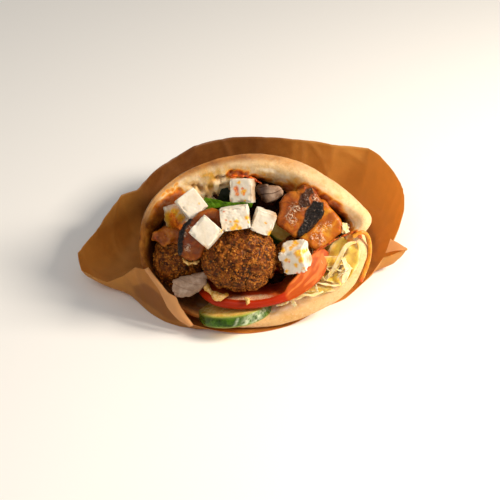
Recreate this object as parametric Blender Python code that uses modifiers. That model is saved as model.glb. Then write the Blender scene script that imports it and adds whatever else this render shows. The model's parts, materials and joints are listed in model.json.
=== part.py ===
"""A falafel pita in its paper: a stuffed pocket bread lying on a sheet of brown parchment."""

import math
from functools import partial

import bmesh
import bpy
from mathutils import Euler, Vector, noise

MM = 0.001

# ---- driving sizes ------------------------------------------------------------------------------
MOUTH_WIDTH = 121 * MM  # the open edge of the bread, side to side
MOUTH_LEAN = math.radians(35)  # the filling leans back this far from upright
MOUTH_CENTRE = Vector((6.5, -32, 40)) * MM  # the middle of the opening
LOWER_LIP = 24 * MM  # how far the lower lip lies in front of that middle
UPPER_LIP = 26 * MM  # and the upper lip behind it
LIP_TOP = 77 * MM  # height of the upper lip

BREAD_BACK = 68 * MM  # the closed edge of the pocket lies this far back
BACK_HEIGHT = 11 * MM  # and the bread is this thick there
BACK_X = 2 * MM  # the middle of the closed edge, from side to side
BREAD_CROWN = 4 * MM  # how far the top puffs up between mouth and back
BREAD_WALL = 7.5 * MM  # crumb and crust together
LIP_ROLL = 3.2 * MM  # how far the rounded lip stands out past the cut

FALAFEL = 38 * MM
FETA_SIDE = 12.6 * MM
TOMATO_WIDTH, TOMATO_THICK = 71 * MM, 4.7 * MM
CUCUMBER_WIDTH, CUCUMBER_THICK = 37 * MM, 5.6 * MM
CARROT_WIDTH = 2.3 * MM

PAPER_THICK = 0.5 * MM
GAP = 0.35 * MM  # kept free between pieces that touch
BREAD_FLOOR = PAPER_THICK + GAP
LEAF_GAP = 2.4 * MM  # kept free between the lettuce and the bread

AROUND_MOUTH = 24  # points round each ring of the bread's cage
NOISE_SEED = 10  # left unset, Blender seeds its noise vectors from the clock


# ---- scene, materials, small tools --------------------------------------------------------------
def clear_scene():
    for obj in list(bpy.data.objects):
        bpy.data.objects.remove(obj, do_unlink=True)


def new_collection(name):
    collection = bpy.data.collections.new(name)
    bpy.context.scene.collection.children.link(collection)
    return collection


def material(name, colour, roughness):
    made = bpy.data.materials.new(name)
    made.use_nodes = True
    shader = made.node_tree.nodes["Principled BSDF"]
    shader.inputs["Base Color"].default_value = (*colour, 1)
    shader.inputs["Roughness"].default_value = roughness
    shader.inputs["Metallic"].default_value = 0
    made.diffuse_color = (*colour, 1)
    return made


def mesh_object(name, bm, collection, finish=None):
    """A closed mesh, faces out, as one named object."""
    bmesh.ops.recalc_face_normals(bm, faces=bm.faces)
    mesh = bpy.data.meshes.new(name)
    bm.to_mesh(mesh)
    bm.free()
    mesh.shade_smooth()
    if finish:
        mesh.materials.append(finish)
    obj = bpy.data.objects.new(name, mesh)
    collection.objects.link(obj)
    return obj


def subdivide(obj, levels):
    modifier = obj.modifiers.new("soften", "SUBSURF")
    modifier.levels = modifier.render_levels = levels


def round_edges(obj, width, segments=2):
    modifier = obj.modifiers.new("round", "BEVEL")
    modifier.width = width
    modifier.segments = segments
    modifier.limit_method = "ANGLE"
    modifier.angle_limit = math.radians(40)


def wobble(point, cell, amount, seed):
    """Moves a point by smooth noise, to make a piece as uneven as food is."""
    return point + amount * noise.noise_vector(point / cell + Vector((seed * 7.3, seed * 3.1, seed * 5.7)))


def loft(bm, rings, start_pole=None, end_pole=None):
    """Joins closed rings of points, one after another, and closes each end at a pole."""
    made = [[bm.verts.new(point) for point in ring] for ring in rings]
    count = len(made[0])
    for near, far in zip(made, made[1:]):
        for i in range(count):
            bm.faces.new((near[i], near[(i + 1) % count], far[(i + 1) % count], far[i]))
    for ring, pole in ((made[0], start_pole), (made[-1], end_pole)):
        if pole is not None:
            tip = bm.verts.new(pole)
            for i in range(count):
                bm.faces.new((ring[i], ring[(i + 1) % count], tip))


def between(low, high, share):
    return low + (high - low) * share


# ---- the bread ----------------------------------------------------------------------------------
def hump(angle, centre, width):
    """1 at the centre angle, falling smoothly to 0 beside it, in degrees."""
    away = (angle - centre + 180) % 360 - 180
    return math.exp(-((away / width) ** 2))


def lip_shape(angle):
    """How far the lip's outline stands out of a plain ellipse, by angle from the right."""
    nose = 0.06 * hump(angle, 17, 9)
    cusp = -0.055 * hump(angle, 4, 6)
    left_cheek = 0.06 * hump(angle, 220, 26)
    return 1 + nose + cusp + left_cheek


def wall_at(angle, depth):
    """The bread's thickness round the ring: a puffed top and right edge, a thin pulled left one."""
    front = 0.38 * hump(angle, 70, 50) - 0.5 * hump(angle, 195, 42) - 0.22 * hump(angle, 262, 40)
    return BREAD_WALL * (1 + front * (1 - depth)) * between(1, 0.8, depth)


def bread_ring(depth, inset=0.0, forward=0.0):
    """One ring of the pocket, from the mouth (depth 0) to the closed back (depth 1)."""
    half_width = MOUTH_WIDTH / 2 * math.sqrt(1 - (0.975 * depth) ** 2.3)
    low = Vector((0, between(MOUTH_CENTRE.y - LOWER_LIP, BREAD_BACK - 2 * MM, depth), BREAD_FLOOR))
    top_height = between(LIP_TOP, BACK_HEIGHT, depth**0.92) + BREAD_CROWN * math.sin(math.pi * depth)
    high = Vector((0, between(MOUTH_CENTRE.y + UPPER_LIP, BREAD_BACK, depth**0.85), top_height))
    middle, rise = (low + high) / 2, (high - low) / 2
    out = Vector((0, -rise.z, rise.y)).normalized()
    centre_x = between(MOUTH_CENTRE.x, BACK_X, depth)
    points = []
    for i in range(AROUND_MOUTH):
        angle = 360 * i / AROUND_MOUTH
        turn = math.radians(angle)
        reach = between(lip_shape(angle), 1, min(1, depth * 3))
        thick = wall_at(angle, depth) * inset
        side = half_width * reach - thick
        up = rise.length * reach - thick
        flat = between(1, 0.62, min(1, depth * 4)) if math.sin(turn) < 0 else 1
        height = math.copysign(abs(math.sin(turn)) ** flat, math.sin(turn))
        point = middle + rise.normalized() * up * height + out * forward
        point.x = centre_x + side * math.cos(turn)
        points.append(point)
    return points


def bread():
    bm = bmesh.new()
    outside = [bread_ring(depth) for depth in (0.985, 0.92, 0.8, 0.64, 0.46, 0.28, 0.13, 0.04)]
    lip = [
        bread_ring(0, 0.1, 0.2 * LIP_ROLL),
        bread_ring(0, 0.5, LIP_ROLL),
        bread_ring(0, 0.9, 0.2 * LIP_ROLL),
    ]
    inside = [bread_ring(depth, 1.0) for depth in (0.04, 0.16, 0.34, 0.54, 0.72, 0.82)]
    back = Vector((BACK_X, BREAD_BACK + 0.5 * MM, BACK_HEIGHT / 2))
    inner_back = sum(inside[-1], Vector()) / AROUND_MOUTH + Vector((0, 2 * MM, 0))
    loft(bm, outside + lip + inside, back, inner_back)
    for vertex in bm.verts:
        uneven = wobble(vertex.co, 26 * MM, 0.9 * MM, 1)
        vertex.co.x, vertex.co.y = uneven.x, uneven.y
    obj = mesh_object("pita_bread", bm, PARTS, material("baked bread", (0.80, 0.55, 0.27), 0.7))
    subdivide(obj, 1)
    return obj


# ---- the paper ----------------------------------------------------------------------------------
PAPER_MIDDLE = Vector((4, 5, 0)) * MM
# bearing from the middle in degrees, then in mm: where the sheet leaves the floor, how far its edge
# reaches, and how high that edge stands
PAPER_EDGE = (
    (0, 64, 79, 15),
    (9, 67, 87, 26),
    (19, 70, 93, 30),
    (28, 72, 95, 33),
    (36, 74, 95, 37),
    (42, 74, 94, 38),
    (54, 74, 82, 38),
    (71, 71, 76, 38),
    (84, 70, 76, 38),
    (98, 70, 77, 38),
    (107, 69, 76, 38),
    (117, 68, 74, 38),
    (126, 67, 74, 34),
    (136, 66, 73, 32),
    (148, 65, 70, 32),
    (155, 65, 72, 29),
    (161, 65, 78, 29),
    (172, 65, 80, 28),
    (182, 65, 86, 23),
    (189, 66, 96, 17),
    (194, 67, 95, 11),
    (201, 70, 83, 8),
    (208, 71, 76, 17),
    (215, 71, 73, 27),
    (222, 71, 72, 30),
    (230, 70.5, 72.5, 22),
    (237, 69, 72, 14),
    (245, 66, 71, 6),
    (256, 58, 66, 1.5),
    (270, 56, 64, 0.3),
    (290, 54, 61, 0.3),
    (310, 50, 56, 0.3),
    (326, 52, 62, 0.6),
    (340, 57, 69, 8),
    (349, 60, 74, 13),
    (354.5, 62, 87, 15),
)
WIDEST_PLEAT = 9  # degrees: a wider gap in that table gets a station halfway
PLEAT_RIPPLE = 0.8 * MM  # how far the standing sheet waves in and out


def paper_stations():
    """The table's rows, with one more halfway across each wide gap."""
    rows = []
    for row, after in zip(PAPER_EDGE, PAPER_EDGE[1:] + PAPER_EDGE[:1]):
        rows.append(row)
        gap = (after[0] - row[0]) % 360
        if gap > WIDEST_PLEAT:
            rows.append((row[0] + gap / 2, *((a + b) / 2 for a, b in zip(row[1:], after[1:]))))
    return rows


def paper_profile(bearing, floor, reach, height):
    """Points along the sheet from near its middle out to its edge, in one direction."""
    floor, reach, height = floor * MM, reach * MM, height * MM
    turn = math.radians(bearing)
    way = Vector((math.cos(turn), math.sin(turn), 0))
    up = Vector((0, 0, height))
    points = [PAPER_MIDDLE + way * floor * share for share in (0.35, 0.75, 1.0)]
    bend = min(0.85, 0.35 + (reach - floor) / (30 * MM))
    for share in (0.25, 0.5, 0.75, 1.0):
        knee = way * between(floor, reach, bend)
        curve = way * floor * (1 - share) ** 2 + knee * 2 * share * (1 - share)
        curve += (way * reach + up) * share**2
        ripple = PLEAT_RIPPLE * math.sin(5 * turn + 2) * share * min(1, height / (20 * MM))
        points.append(PAPER_MIDDLE + curve + way * ripple)
    return points


def paper():
    bm = bmesh.new()
    profiles = [paper_profile(*row) for row in paper_stations()]
    loft(bm, list(zip(*profiles)), PAPER_MIDDLE)
    for face in bm.faces:
        face.normal_update()
        if face.normal.z < 0:
            face.normal_flip()
    mesh = bpy.data.meshes.new("paper_wrap")
    bm.to_mesh(mesh)
    bm.free()
    mesh.materials.append(material("brown parchment", (0.42, 0.17, 0.05), 0.6))
    obj = bpy.data.objects.new("paper_wrap", mesh)
    PARTS.objects.link(obj)
    thicken = obj.modifiers.new("sheet", "SOLIDIFY")
    thicken.thickness = PAPER_THICK
    thicken.offset = 1
    return obj


# ---- shapes of the filling ----------------------------------------------------------------------
def ball(name, grow, collection, radii, seed, finish):
    """A fried ball: a lumpy ellipsoid."""
    bm = bmesh.new()
    bmesh.ops.create_uvsphere(bm, u_segments=16, v_segments=10, radius=1)
    for vertex in bm.verts:
        way = vertex.co.copy()
        dent = 1 + 0.045 * noise.noise(way * 1.7 + Vector((seed, 0, seed)))
        vertex.co = Vector([a * (b * dent + grow) for a, b in zip(way, radii)])
    return mesh_object(name, bm, collection, finish)


def cube(name, grow, collection, size, seed, finish, crumble=0.55 * MM, edge=1.1 * MM):
    """A cut cube with slightly uneven corners."""
    bm = bmesh.new()
    bmesh.ops.create_cube(bm, size=1)
    for vertex in bm.verts:
        corner = Vector([a * b for a, b in zip(vertex.co, size)])
        vertex.co = wobble(corner, 5 * MM, crumble, seed) + vertex.co * 2 * grow
    obj = mesh_object(name, bm, collection, finish)
    round_edges(obj, edge)
    return obj


def slab(name, grow, collection, outline, thickness, bend, seed, finish, edge=1.6 * MM):
    """A soft slice cut to an outline, bowed across its width, with rounded edges."""
    bm = bmesh.new()
    corners = [Vector((x, y, 0)) * MM for x, y in outline]
    middle = sum(corners, Vector()) / len(corners)
    rings = []
    for level, shares in ((-0.5, (0.5, 1.0)), (0.5, (1.0, 0.5))):
        for share in shares:
            ring = []
            for corner in corners:
                away = corner - middle
                point = middle + away * share + away.normalized() * grow
                point.z = level * (thickness + 2 * grow) - bend * (away.x * share) ** 2
                ring.append(wobble(point, 9 * MM, 0.5 * MM, seed))
            rings.append(ring)
    loft(bm, rings, sum(rings[0], Vector()) / len(corners), sum(rings[-1], Vector()) / len(corners))
    obj = mesh_object(name, bm, collection, finish)
    if edge:
        round_edges(obj, edge)
    return obj


def disc(name, grow, collection, width, thickness, lift, seed, finish, sides=30):
    """A round slice whose right side bends up by lift."""
    bm = bmesh.new()
    radius, half = width / 2 + grow, thickness / 2 + grow
    profile = ((0.5, -half), (0.965, -half), (1, -0.55 * half), (1, 0.55 * half), (0.965, half), (0.5, half))
    rings = []
    for share, level in profile:
        ring = []
        for i in range(sides):
            turn = 2 * math.pi * i / sides
            uneven = 1 + 0.012 * math.sin(3 * turn + seed) + 0.008 * math.sin(5 * turn + 2 * seed)
            point = Vector((math.cos(turn), math.sin(turn), 0)) * radius * share * uneven
            ring.append(bent_up(point, level, radius, lift))
        rings.append(ring)
    loft(bm, rings, bent_up(Vector(), -half, radius, lift), bent_up(Vector(), half, radius, lift))
    return mesh_object(name, bm, collection, finish)


def bent_up(point, level, radius, lift):
    """A point of a flat slice, carried up with the slice's right side."""
    right = max(0.0, point.x / radius)
    steep = math.atan(2 * lift * right / radius)
    return point + Vector((-level * math.sin(steep), 0, level * math.cos(steep) + lift * right**2))


def strip(name, grow, collection, route, width, finish):
    """A cut shred along a route of points."""
    curve = bpy.data.curves.new(name, "CURVE")
    curve.dimensions = "3D"
    curve.bevel_depth = width / 2 + grow
    curve.bevel_resolution = 1
    curve.resolution_u = 3
    curve.use_fill_caps = True
    spline = curve.splines.new("NURBS")
    spline.points.add(len(route) - 1)
    for point, spot in zip(spline.points, route):
        point.co = (*(value * MM for value in spot), 1)
    spline.use_endpoint_u = True
    spline.order_u = 4
    curve.materials.append(finish)
    obj = bpy.data.objects.new(name, curve)
    collection.objects.link(obj)
    return obj


def heap(name, collection, finish):
    """Shredded leaf packed into the pocket, clear of its wall."""
    bm = bmesh.new()
    inset = 1 + (GAP + LEAF_GAP) / BREAD_WALL
    rings = [bread_ring(depth, inset) for depth in (0.05, 0.14, 0.3, 0.46, 0.6, 0.7)]
    for ring in rings:
        ring[:] = [wobble(point, 8 * MM, 0.8 * MM, 3) for point in ring]
    ends = [sum(ring, Vector()) / AROUND_MOUTH for ring in (rings[0], rings[-1])]
    loft(bm, rings, *ends)
    return mesh_object(name, bm, collection, finish)


# ---- assembly -----------------------------------------------------------------------------------
clear_scene()
noise.seed_set(NOISE_SEED)
PARTS = new_collection("falafel_pita")
CUTTERS = new_collection("cutters")
CUTTERS.hide_render = True

MOUTH = bpy.data.objects.new("mouth_frame", None)
MOUTH.location = MOUTH_CENTRE
MOUTH.rotation_euler = (math.pi / 2 - MOUTH_LEAN, 0, 0)
PARTS.objects.link(MOUTH)

FRIED = material("fried falafel", (0.20, 0.075, 0.02), 0.85)
CHEESE = material("feta", (0.86, 0.78, 0.64), 0.5)
ROAST = material("roasted aubergine", (0.32, 0.11, 0.025), 0.3)
TOMATO = material("tomato", (0.62, 0.07, 0.02), 0.25)
CUCUMBER = material("cucumber", (0.28, 0.36, 0.08), 0.3)
ONION = material("onion", (0.62, 0.52, 0.48), 0.35)
HERB = material("herb leaf", (0.07, 0.18, 0.01), 0.45)
LETTUCE = material("lettuce", (0.66, 0.62, 0.24), 0.5)
CARROT = material("carrot", (0.75, 0.28, 0.03), 0.4)

MAKERS = {}


def place(obj, spot, turn):
    """Puts a piece in the mouth's own frame: x right, y up along the opening, z out of it, in mm."""
    obj.parent = MOUTH
    obj.location = Vector(spot) * MM
    obj.rotation_euler = Euler([math.radians(angle) for angle in turn])
    return obj


def piece(name, make, spot, turn=(0, 0, 0)):
    MAKERS[name] = make, spot, turn
    return place(make(name, 0, PARTS), spot, turn)


def cut_round(obj, names, solver="EXACT"):
    """Cuts a piece back so that it clears the named ones by the gap."""
    for name in names:
        make, spot, turn = MAKERS[name]
        cut_with(obj, place(make("clear_" + name, GAP, CUTTERS), spot, turn), solver)


def cut_with(obj, cutter, solver):
    cutter.hide_render = True
    cutter.display_type = "WIRE"
    modifier = obj.modifiers.new("cut", "BOOLEAN")
    modifier.operation = "DIFFERENCE"
    modifier.solver = solver
    modifier.object = cutter


bread()
paper()

# falafel: name, place in the mouth, share of the full size along each axis
BALLS = (
    ("falafel_front", (-8.2, -8.8, 9.4), (1.03, 0.91, 0.93)),
    ("falafel_left", (-37.1, -9.6, -9.2), (0.81, 0.83, 0.75)),
    ("falafel_right", (20.3, -8.0, -6.2), (0.58, 0.58, 0.58)),
)
for seed, (name, spot, shares) in enumerate(BALLS):
    radii = [FALAFEL / 2 * share for share in shares]
    piece(name, partial(ball, radii=radii, seed=seed, finish=FRIED), spot)

# feta: name, place, turn, size as shares of the cube's side
CUBES = (
    ("feta_upper_left", (-33.4, 19.0, 6.4), (3, 4, 39), (0.95, 1.0, 1.0)),
    ("feta_left", (-25.3, 4.3, 24.6), (-3, 2, 50), (0.98, 1.0, 0.95)),
    ("feta_top", (-7.7, 26.5, -3.5), (4, -10, -1), (0.95, 1.02, 1.0)),
    ("feta_middle", (-10.4, 12.6, 20.6), (8, -4, 8), (1.17, 0.96, 0.82)),
    ("feta_middle_right", (4.7, 10.8, 18.1), (12, 6, -18), (0.9, 1.0, 0.88)),
    ("feta_right", (20.2, -8.2, 12), (32, -24, 6), (1.0, 1.0, 1.0)),
    ("feta_stained", (-39.5, 13.0, -7.5), (20, 25, 20), (0.9, 0.95, 0.9)),
)
for seed, (name, spot, turn, shares) in enumerate(CUBES):
    size = [FETA_SIDE * share for share in shares]
    piece(name, partial(cube, size=size, seed=seed + 11, finish=CHEESE), spot, turn)

# soft slices: name, finish, place, turn, thickness in mm, bow, then the cut outline in mm
SLICES = (
    (
        "aubergine_top", ROAST, (21.5, 15.5, 5.5), (-6, 8, 0), 8, 8,
        ((-12, -4), (-9, 6), (-3, 11), (5, 13), (12, 8), (13, -1), (9, -10), (0, -13)),
    ),
    (
        "aubergine_right", ROAST, (34.8, 7.5, -2.6), (-8, -12, 0), 6, 10,
        ((-8, 3), (-0.5, 13.5), (4, 10.5), (10, 3.6), (8.3, -2), (4.7, -8.3), (-4.7, -12.8), (-11, -7)),
    ),
    (
        "aubergine_long", ROAST, (-28.8, 3.5, 12.8), (-14, 8, 55), 6.5, 0,
        ((-16, -3), (-9, -4.6), (6, -5.2), (15, -4), (14, 4), (5, 7), (-8, 7), (-16, 5)),
    ),
    (
        "aubergine_left", ROAST, (-46.0, 5.0, 3), (-14, -10, 0), 6, 8,
        ((-6, -3), (-4, 4), (3, 5), (7, 1), (4, -5), (-3, -5)),
    ),
    (
        "onion_top", ONION, (8.1, 25.7, -6), (-10, 5, 0), 4, 20,
        ((-7, 6), (0, 5.5), (7.5, 1.5), (6, -1), (-2, -5.5), (-4.5, -1)),
    ),
    (
        "onion_front", ONION, (-33.8, -22.6, 5.9), (-6, 0, 0), 6, 6,
        ((-8, 3.6), (-0.5, 5.2), (6.2, 6.2), (8.3, 3), (7.7, -1), (3, -4), (-1, -6), (-7, -5.7)),
    ),
    (
        "herb_leaf", HERB, (-14.3, 17.8, 3.6), (-50, 0, -3), 1, 14,
        ((-11.5, -1), (-8, 3), (-2, 4), (7, 1), (13, -1.5), (8, -4.5), (0, -6), (-8, -4)),
    ),
)
for seed, (name, finish, spot, turn, thick, bow, outline) in enumerate(SLICES):
    edge = 0 if thick < 2 else 1.6 * MM
    shape = partial(
        slab, outline=outline, thickness=thick * MM, bend=bow, seed=seed + 31, finish=finish, edge=edge
    )
    piece(name, shape, spot, turn)

piece(
    "tomato_slice",
    partial(disc, width=TOMATO_WIDTH, thickness=TOMATO_THICK, lift=13 * MM, seed=2, finish=TOMATO),
    (4.5, -15.6, -18.7),
    (-62, 0, 2),
)
cucumber = partial(disc, thickness=CUCUMBER_THICK, lift=0, finish=CUCUMBER)
piece("cucumber_front", partial(cucumber, width=CUCUMBER_WIDTH, seed=4, sides=24), (-9.5, -31.1, -3.3), (-61, 0, 4))
piece("cucumber_back", partial(cucumber, width=0.44 * CUCUMBER_WIDTH, seed=5, sides=16), (13, 5, -8), (-35, 15, 0))

CARROT_ROUTE = (
    (52, 2.5, 4.5), (56, 5.5, 5), (59.5, 5, 3), (61.3, -1, 0.5), (61.6, -7, -2), (59.8, -14, -3.5), (56.8, -20.8, -4),
)
piece("carrot_strip", partial(strip, route=CARROT_ROUTE, width=CARROT_WIDTH, finish=CARROT), (0, 0, 0))

for name in ("falafel_left", "falafel_right"):
    cut_round(bpy.data.objects[name], ["tomato_slice"])
cut_round(bpy.data.objects["falafel_right"], ["feta_right", "aubergine_right"])
cut_round(bpy.data.objects["cucumber_back"], ["falafel_front", "falafel_right"])


def clear_box(name, spot, size, turn, frame=None):
    """A box of free space that starts at a spot and rises along its own z."""
    bm = bmesh.new()
    bmesh.ops.create_cube(bm, size=1)
    for vertex in bm.verts:
        vertex.co = Vector([(a + b) * c for a, b, c in zip(vertex.co, (0, 0, 0.5), size)])
    box = mesh_object(name, bm, CUTTERS)
    box.location = spot
    box.rotation_euler = Euler([math.radians(angle) for angle in turn])
    box.parent = frame
    return box


# the lettuce fills what the other pieces leave; the exact solver returns nothing after this many cuts
SOLVER = "MANIFOLD"
ROOM = Vector((220, 220, 120)) * MM
CLEAR_OF_LETTUCE = ("carrot_strip", "feta_left", "feta_middle")
lettuce = heap("lettuce_heap", PARTS, LETTUCE)
cut_with(lettuce, clear_box("clear_above", Vector((30, -30, 37.4)) * MM, ROOM, (-26, -12, 0)), SOLVER)
cut_with(lettuce, clear_box("clear_left", Vector((-82, 0, -21)) * MM, ROOM, (0, 0, 0), MOUTH), SOLVER)
cut_round(lettuce, [name for name in MAKERS if name not in CLEAR_OF_LETTUCE], SOLVER)


def centre_on_origin(anchor):
    """Moves everything under the anchor so that the whole stands centred on the world's origin."""
    bpy.context.view_layer.update()
    graph = bpy.context.evaluated_depsgraph_get()
    points = []
    for obj in PARTS.objects:
        if obj.type != "EMPTY":
            shape = obj.evaluated_get(graph)
            points += [shape.matrix_world @ vertex.co for vertex in shape.to_mesh().vertices]
            shape.to_mesh_clear()
    for axis in (0, 1):
        values = [point[axis] for point in points]
        anchor.location[axis] -= (min(values) + max(values)) / 2


WHOLE = bpy.data.objects.new("whole", None)
PARTS.objects.link(WHOLE)
for obj in list(PARTS.objects) + list(CUTTERS.objects):
    if obj.parent is None and obj is not WHOLE:
        obj.parent = WHOLE
centre_on_origin(WHOLE)
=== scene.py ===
# Looks of the falafel pita: bread, paper, filling, sauce and crumbs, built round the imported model.
import json
import math

import bmesh
import bpy
import numpy as np
from mathutils import Matrix, Vector, noise

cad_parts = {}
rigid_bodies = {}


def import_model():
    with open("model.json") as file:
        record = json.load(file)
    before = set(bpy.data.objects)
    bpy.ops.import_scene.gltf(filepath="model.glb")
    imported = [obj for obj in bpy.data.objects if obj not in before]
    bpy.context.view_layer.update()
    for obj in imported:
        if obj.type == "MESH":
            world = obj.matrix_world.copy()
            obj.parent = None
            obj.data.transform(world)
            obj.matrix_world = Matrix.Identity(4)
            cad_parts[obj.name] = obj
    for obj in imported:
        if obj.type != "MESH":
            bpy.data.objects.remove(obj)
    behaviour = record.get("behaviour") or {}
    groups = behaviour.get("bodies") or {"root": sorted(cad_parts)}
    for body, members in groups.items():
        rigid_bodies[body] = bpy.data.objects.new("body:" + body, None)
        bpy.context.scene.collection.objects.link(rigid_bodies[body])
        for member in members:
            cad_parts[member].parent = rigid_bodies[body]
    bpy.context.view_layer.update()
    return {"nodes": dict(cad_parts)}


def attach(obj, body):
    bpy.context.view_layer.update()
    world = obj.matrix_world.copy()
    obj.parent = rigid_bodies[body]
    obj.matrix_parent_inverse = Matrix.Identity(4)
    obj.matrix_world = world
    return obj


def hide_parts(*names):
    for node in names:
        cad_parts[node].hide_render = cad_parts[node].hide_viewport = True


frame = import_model()
mm = 0.001
fine = 1.0  # share of the full mesh detail
noise.seed_set(5)

# the mouth's own frame, as the fillings are placed: x right, y up along the opening, z out of it
mouthMiddle = np.array((6.0, -39.8, 40.0))
mouthTurn = np.array(Matrix.Rotation(math.radians(55), 3, "X"))
designShift = np.array((-0.5, -7.8, 0.0))  # from the part's drawing to this frame, in mm


def fromMouth(points):
    return (np.asarray(points, float) @ mouthTurn.T + mouthMiddle) * mm


def toMouth(points):
    return (np.asarray(points, float) / mm - mouthMiddle) @ mouthTurn


def turned(angles):
    turn = Matrix.Identity(3)
    for angle, axis in zip(angles, "XYZ"):
        turn = Matrix.Rotation(math.radians(angle), 3, axis) @ turn
    return np.array(turn)


# ---- noise on whole arrays of points ----
def hashed(cells, salt):
    c = cells.astype(np.int64)
    h = c[..., 0] * 73856093 ^ c[..., 1] * 19349663 ^ c[..., 2] * 83492791 ^ salt * 982451653
    for shift, factor in ((15, 0x2C1B3C6D), (12, 0x297A2D39), (14, 0x1B56C4E9)):
        h &= 0x7FFFFFFF
        h = (h ^ (h >> shift)) * factor
    return ((h >> 7) & 0xFFFFFF) / 0xFFFFFF


def softNoise(points, cell, salt=0, layers=1, keep=0.5):
    # smooth noise from -1 to 1, with finer layers added
    total, weight, reach = 0, 1.0, 0
    for layer in range(layers):
        scaled = points / (cell * 0.5**layer) + 17.3 * layer
        low = np.floor(scaled)
        ease = scaled - low
        ease = ease * ease * ease * (ease * (ease * 6 - 15) + 10)
        value = 0
        for corner in np.ndindex(2, 2, 2):
            share = np.prod(np.where(corner, ease, 1 - ease), axis=-1)
            value = value + share * hashed(low + np.array(corner), salt + layer)
        total = total + weight * (value * 2 - 1)
        reach += weight
        weight *= keep
    return total / reach


def grains(points, cell, salt=0):
    # nearest and second nearest grain, in cells, and a number from 0 to 1 for the nearest
    scaled = points / cell
    low = np.floor(scaled)
    near = np.full(len(points), 9.0)
    second = near.copy()
    tag = np.zeros(len(points))
    for corner in np.ndindex(3, 3, 3):
        spot = low + np.array(corner) - 1
        seeds = np.stack([hashed(spot, salt + axis) for axis in (11, 12, 13)], axis=-1)
        away = np.linalg.norm(spot + seeds - scaled, axis=-1)
        closer = away < near
        second = np.where(closer, near, np.minimum(second, away))
        tag = np.where(closer, hashed(spot, salt + 14), tag)
        near = np.where(closer, away, near)
    return near, second, tag


def ramp(value, low, high):
    share = np.clip((value - low) / (high - low), 0, 1)
    return share * share * (3 - 2 * share)


def within(points, outline):
    # how far points lie inside a closed outline, x and y in mm; negative outside
    corners = np.array(outline, float)
    following = np.roll(corners, -1, 0)
    nearest = np.full(len(points), 1e9)
    crossings = np.zeros(len(points), int)
    for (x1, y1), (x2, y2) in zip(corners, following):
        run = np.array((x2 - x1, y2 - y1))
        along = np.clip((points[:, :2] - (x1, y1)) @ run / (run @ run), 0, 1)
        nearest = np.minimum(nearest, np.linalg.norm(points[:, :2] - (x1, y1) - along[:, None] * run, axis=1))
        spans = (y1 > points[:, 1]) != (y2 > points[:, 1])
        across = x1 + (points[:, 1] - y1) / ((y2 - y1) or 1e-9) * (x2 - x1)
        crossings += spans & (points[:, 0] < across)
    return np.where(crossings % 2 == 1, nearest, -nearest)


# ---- meshes ----
def meshOf(name, points, faces):
    mesh = bpy.data.meshes.new(name)
    mesh.from_pydata(np.asarray(points).tolist(), [], faces)
    return faceOut(mesh)


def faceOut(mesh):
    bm = bmesh.new()
    bm.from_mesh(mesh)
    bmesh.ops.recalc_face_normals(bm, faces=bm.faces)
    bm.to_mesh(mesh)
    bm.free()
    mesh.shade_smooth()
    return mesh


def ringFaces(rings, count, startPole=None, endPole=None, wrap=True):
    # quads between rings of points, with an optional point that closes each end
    faces = []
    last = count if wrap else count - 1
    for row in range(rings - 1):
        for i in range(last):
            j = (i + 1) % count
            faces.append((row * count + i, row * count + j, (row + 1) * count + j, (row + 1) * count + i))
    for pole, row in ((startPole, 0), (endPole, rings - 1)):
        if pole is not None:
            faces += [(row * count + i, row * count + (i + 1) % count, pole) for i in range(last)]
    return faces


def coordinates(mesh):
    points = np.empty(len(mesh.vertices) * 3)
    mesh.vertices.foreach_get("co", points)
    return points.reshape(-1, 3)


def setCoordinates(mesh, points):
    mesh.vertices.foreach_set("co", np.ascontiguousarray(points, np.float64).ravel())
    mesh.update()


def pointNormals(mesh):
    normals = np.empty(len(mesh.vertices) * 3)
    mesh.vertex_normals.foreach_get("vector", normals)
    return normals.reshape(-1, 3)


def push(mesh, heights):
    setCoordinates(mesh, coordinates(mesh) + pointNormals(mesh) * np.asarray(heights)[:, None])


def mark(mesh, name, values):
    # one number for each point, for the material to read
    layer = mesh.attributes.new(name, "FLOAT", "POINT")
    layer.data.foreach_set("value", np.ascontiguousarray(values, np.float32))


def modified(mesh, *steps):
    # a plain mesh with these modifiers applied; a step is (type, settings)
    obj = bpy.data.objects.new("working", mesh)
    bpy.context.scene.collection.objects.link(obj)
    for kind, settings in steps:
        modifier = obj.modifiers.new(kind, kind)
        for key, value in settings.items():
            setattr(modifier, key, value)
    graph = bpy.context.evaluated_depsgraph_get()
    made = bpy.data.meshes.new_from_object(obj.evaluated_get(graph), depsgraph=graph)
    bpy.data.objects.remove(obj)
    made.shade_smooth()
    return made


def smoothPath(points, count):
    points = np.array(points, float)
    steps = np.linspace(0, len(points) - 1, count)
    out = []
    for axis in range(3):
        padded = np.concatenate([[2 * points[0, axis] - points[1, axis]], points[:, axis],
                                 [2 * points[-1, axis] - points[-2, axis]]])
        row = []
        for step in steps:
            i = min(int(step), len(points) - 2)
            t = step - i
            a, b, c, d = padded[i : i + 4]
            row.append(0.5 * (2 * b + (c - a) * t + (2 * a - 5 * b + 4 * c - d) * t**2
                              + (3 * b - a - 3 * c + d) * t**3))
        out.append(row)
    return np.array(out).T


def joined(meshes):
    bm = bmesh.new()
    for mesh in meshes:
        bm.from_mesh(mesh)
    whole = bpy.data.meshes.new("joined")
    bm.to_mesh(whole)
    bm.free()
    return whole


def nodeMesh(names, voxel, smoothing):
    # the CAD nodes' shape as one fine, even skin
    bm = bmesh.new()
    for name in names:
        bm.from_mesh(frame["nodes"][name].data)
    bmesh.ops.remove_doubles(bm, verts=bm.verts, dist=1e-6)
    mesh = bpy.data.meshes.new("copy")
    bm.to_mesh(mesh)
    bm.free()
    return modified(
        mesh,
        ("REMESH", {"mode": "VOXEL", "voxel_size": voxel * mm / fine}),
        ("SMOOTH", {"factor": 0.5, "iterations": smoothing}),
    )


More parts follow.
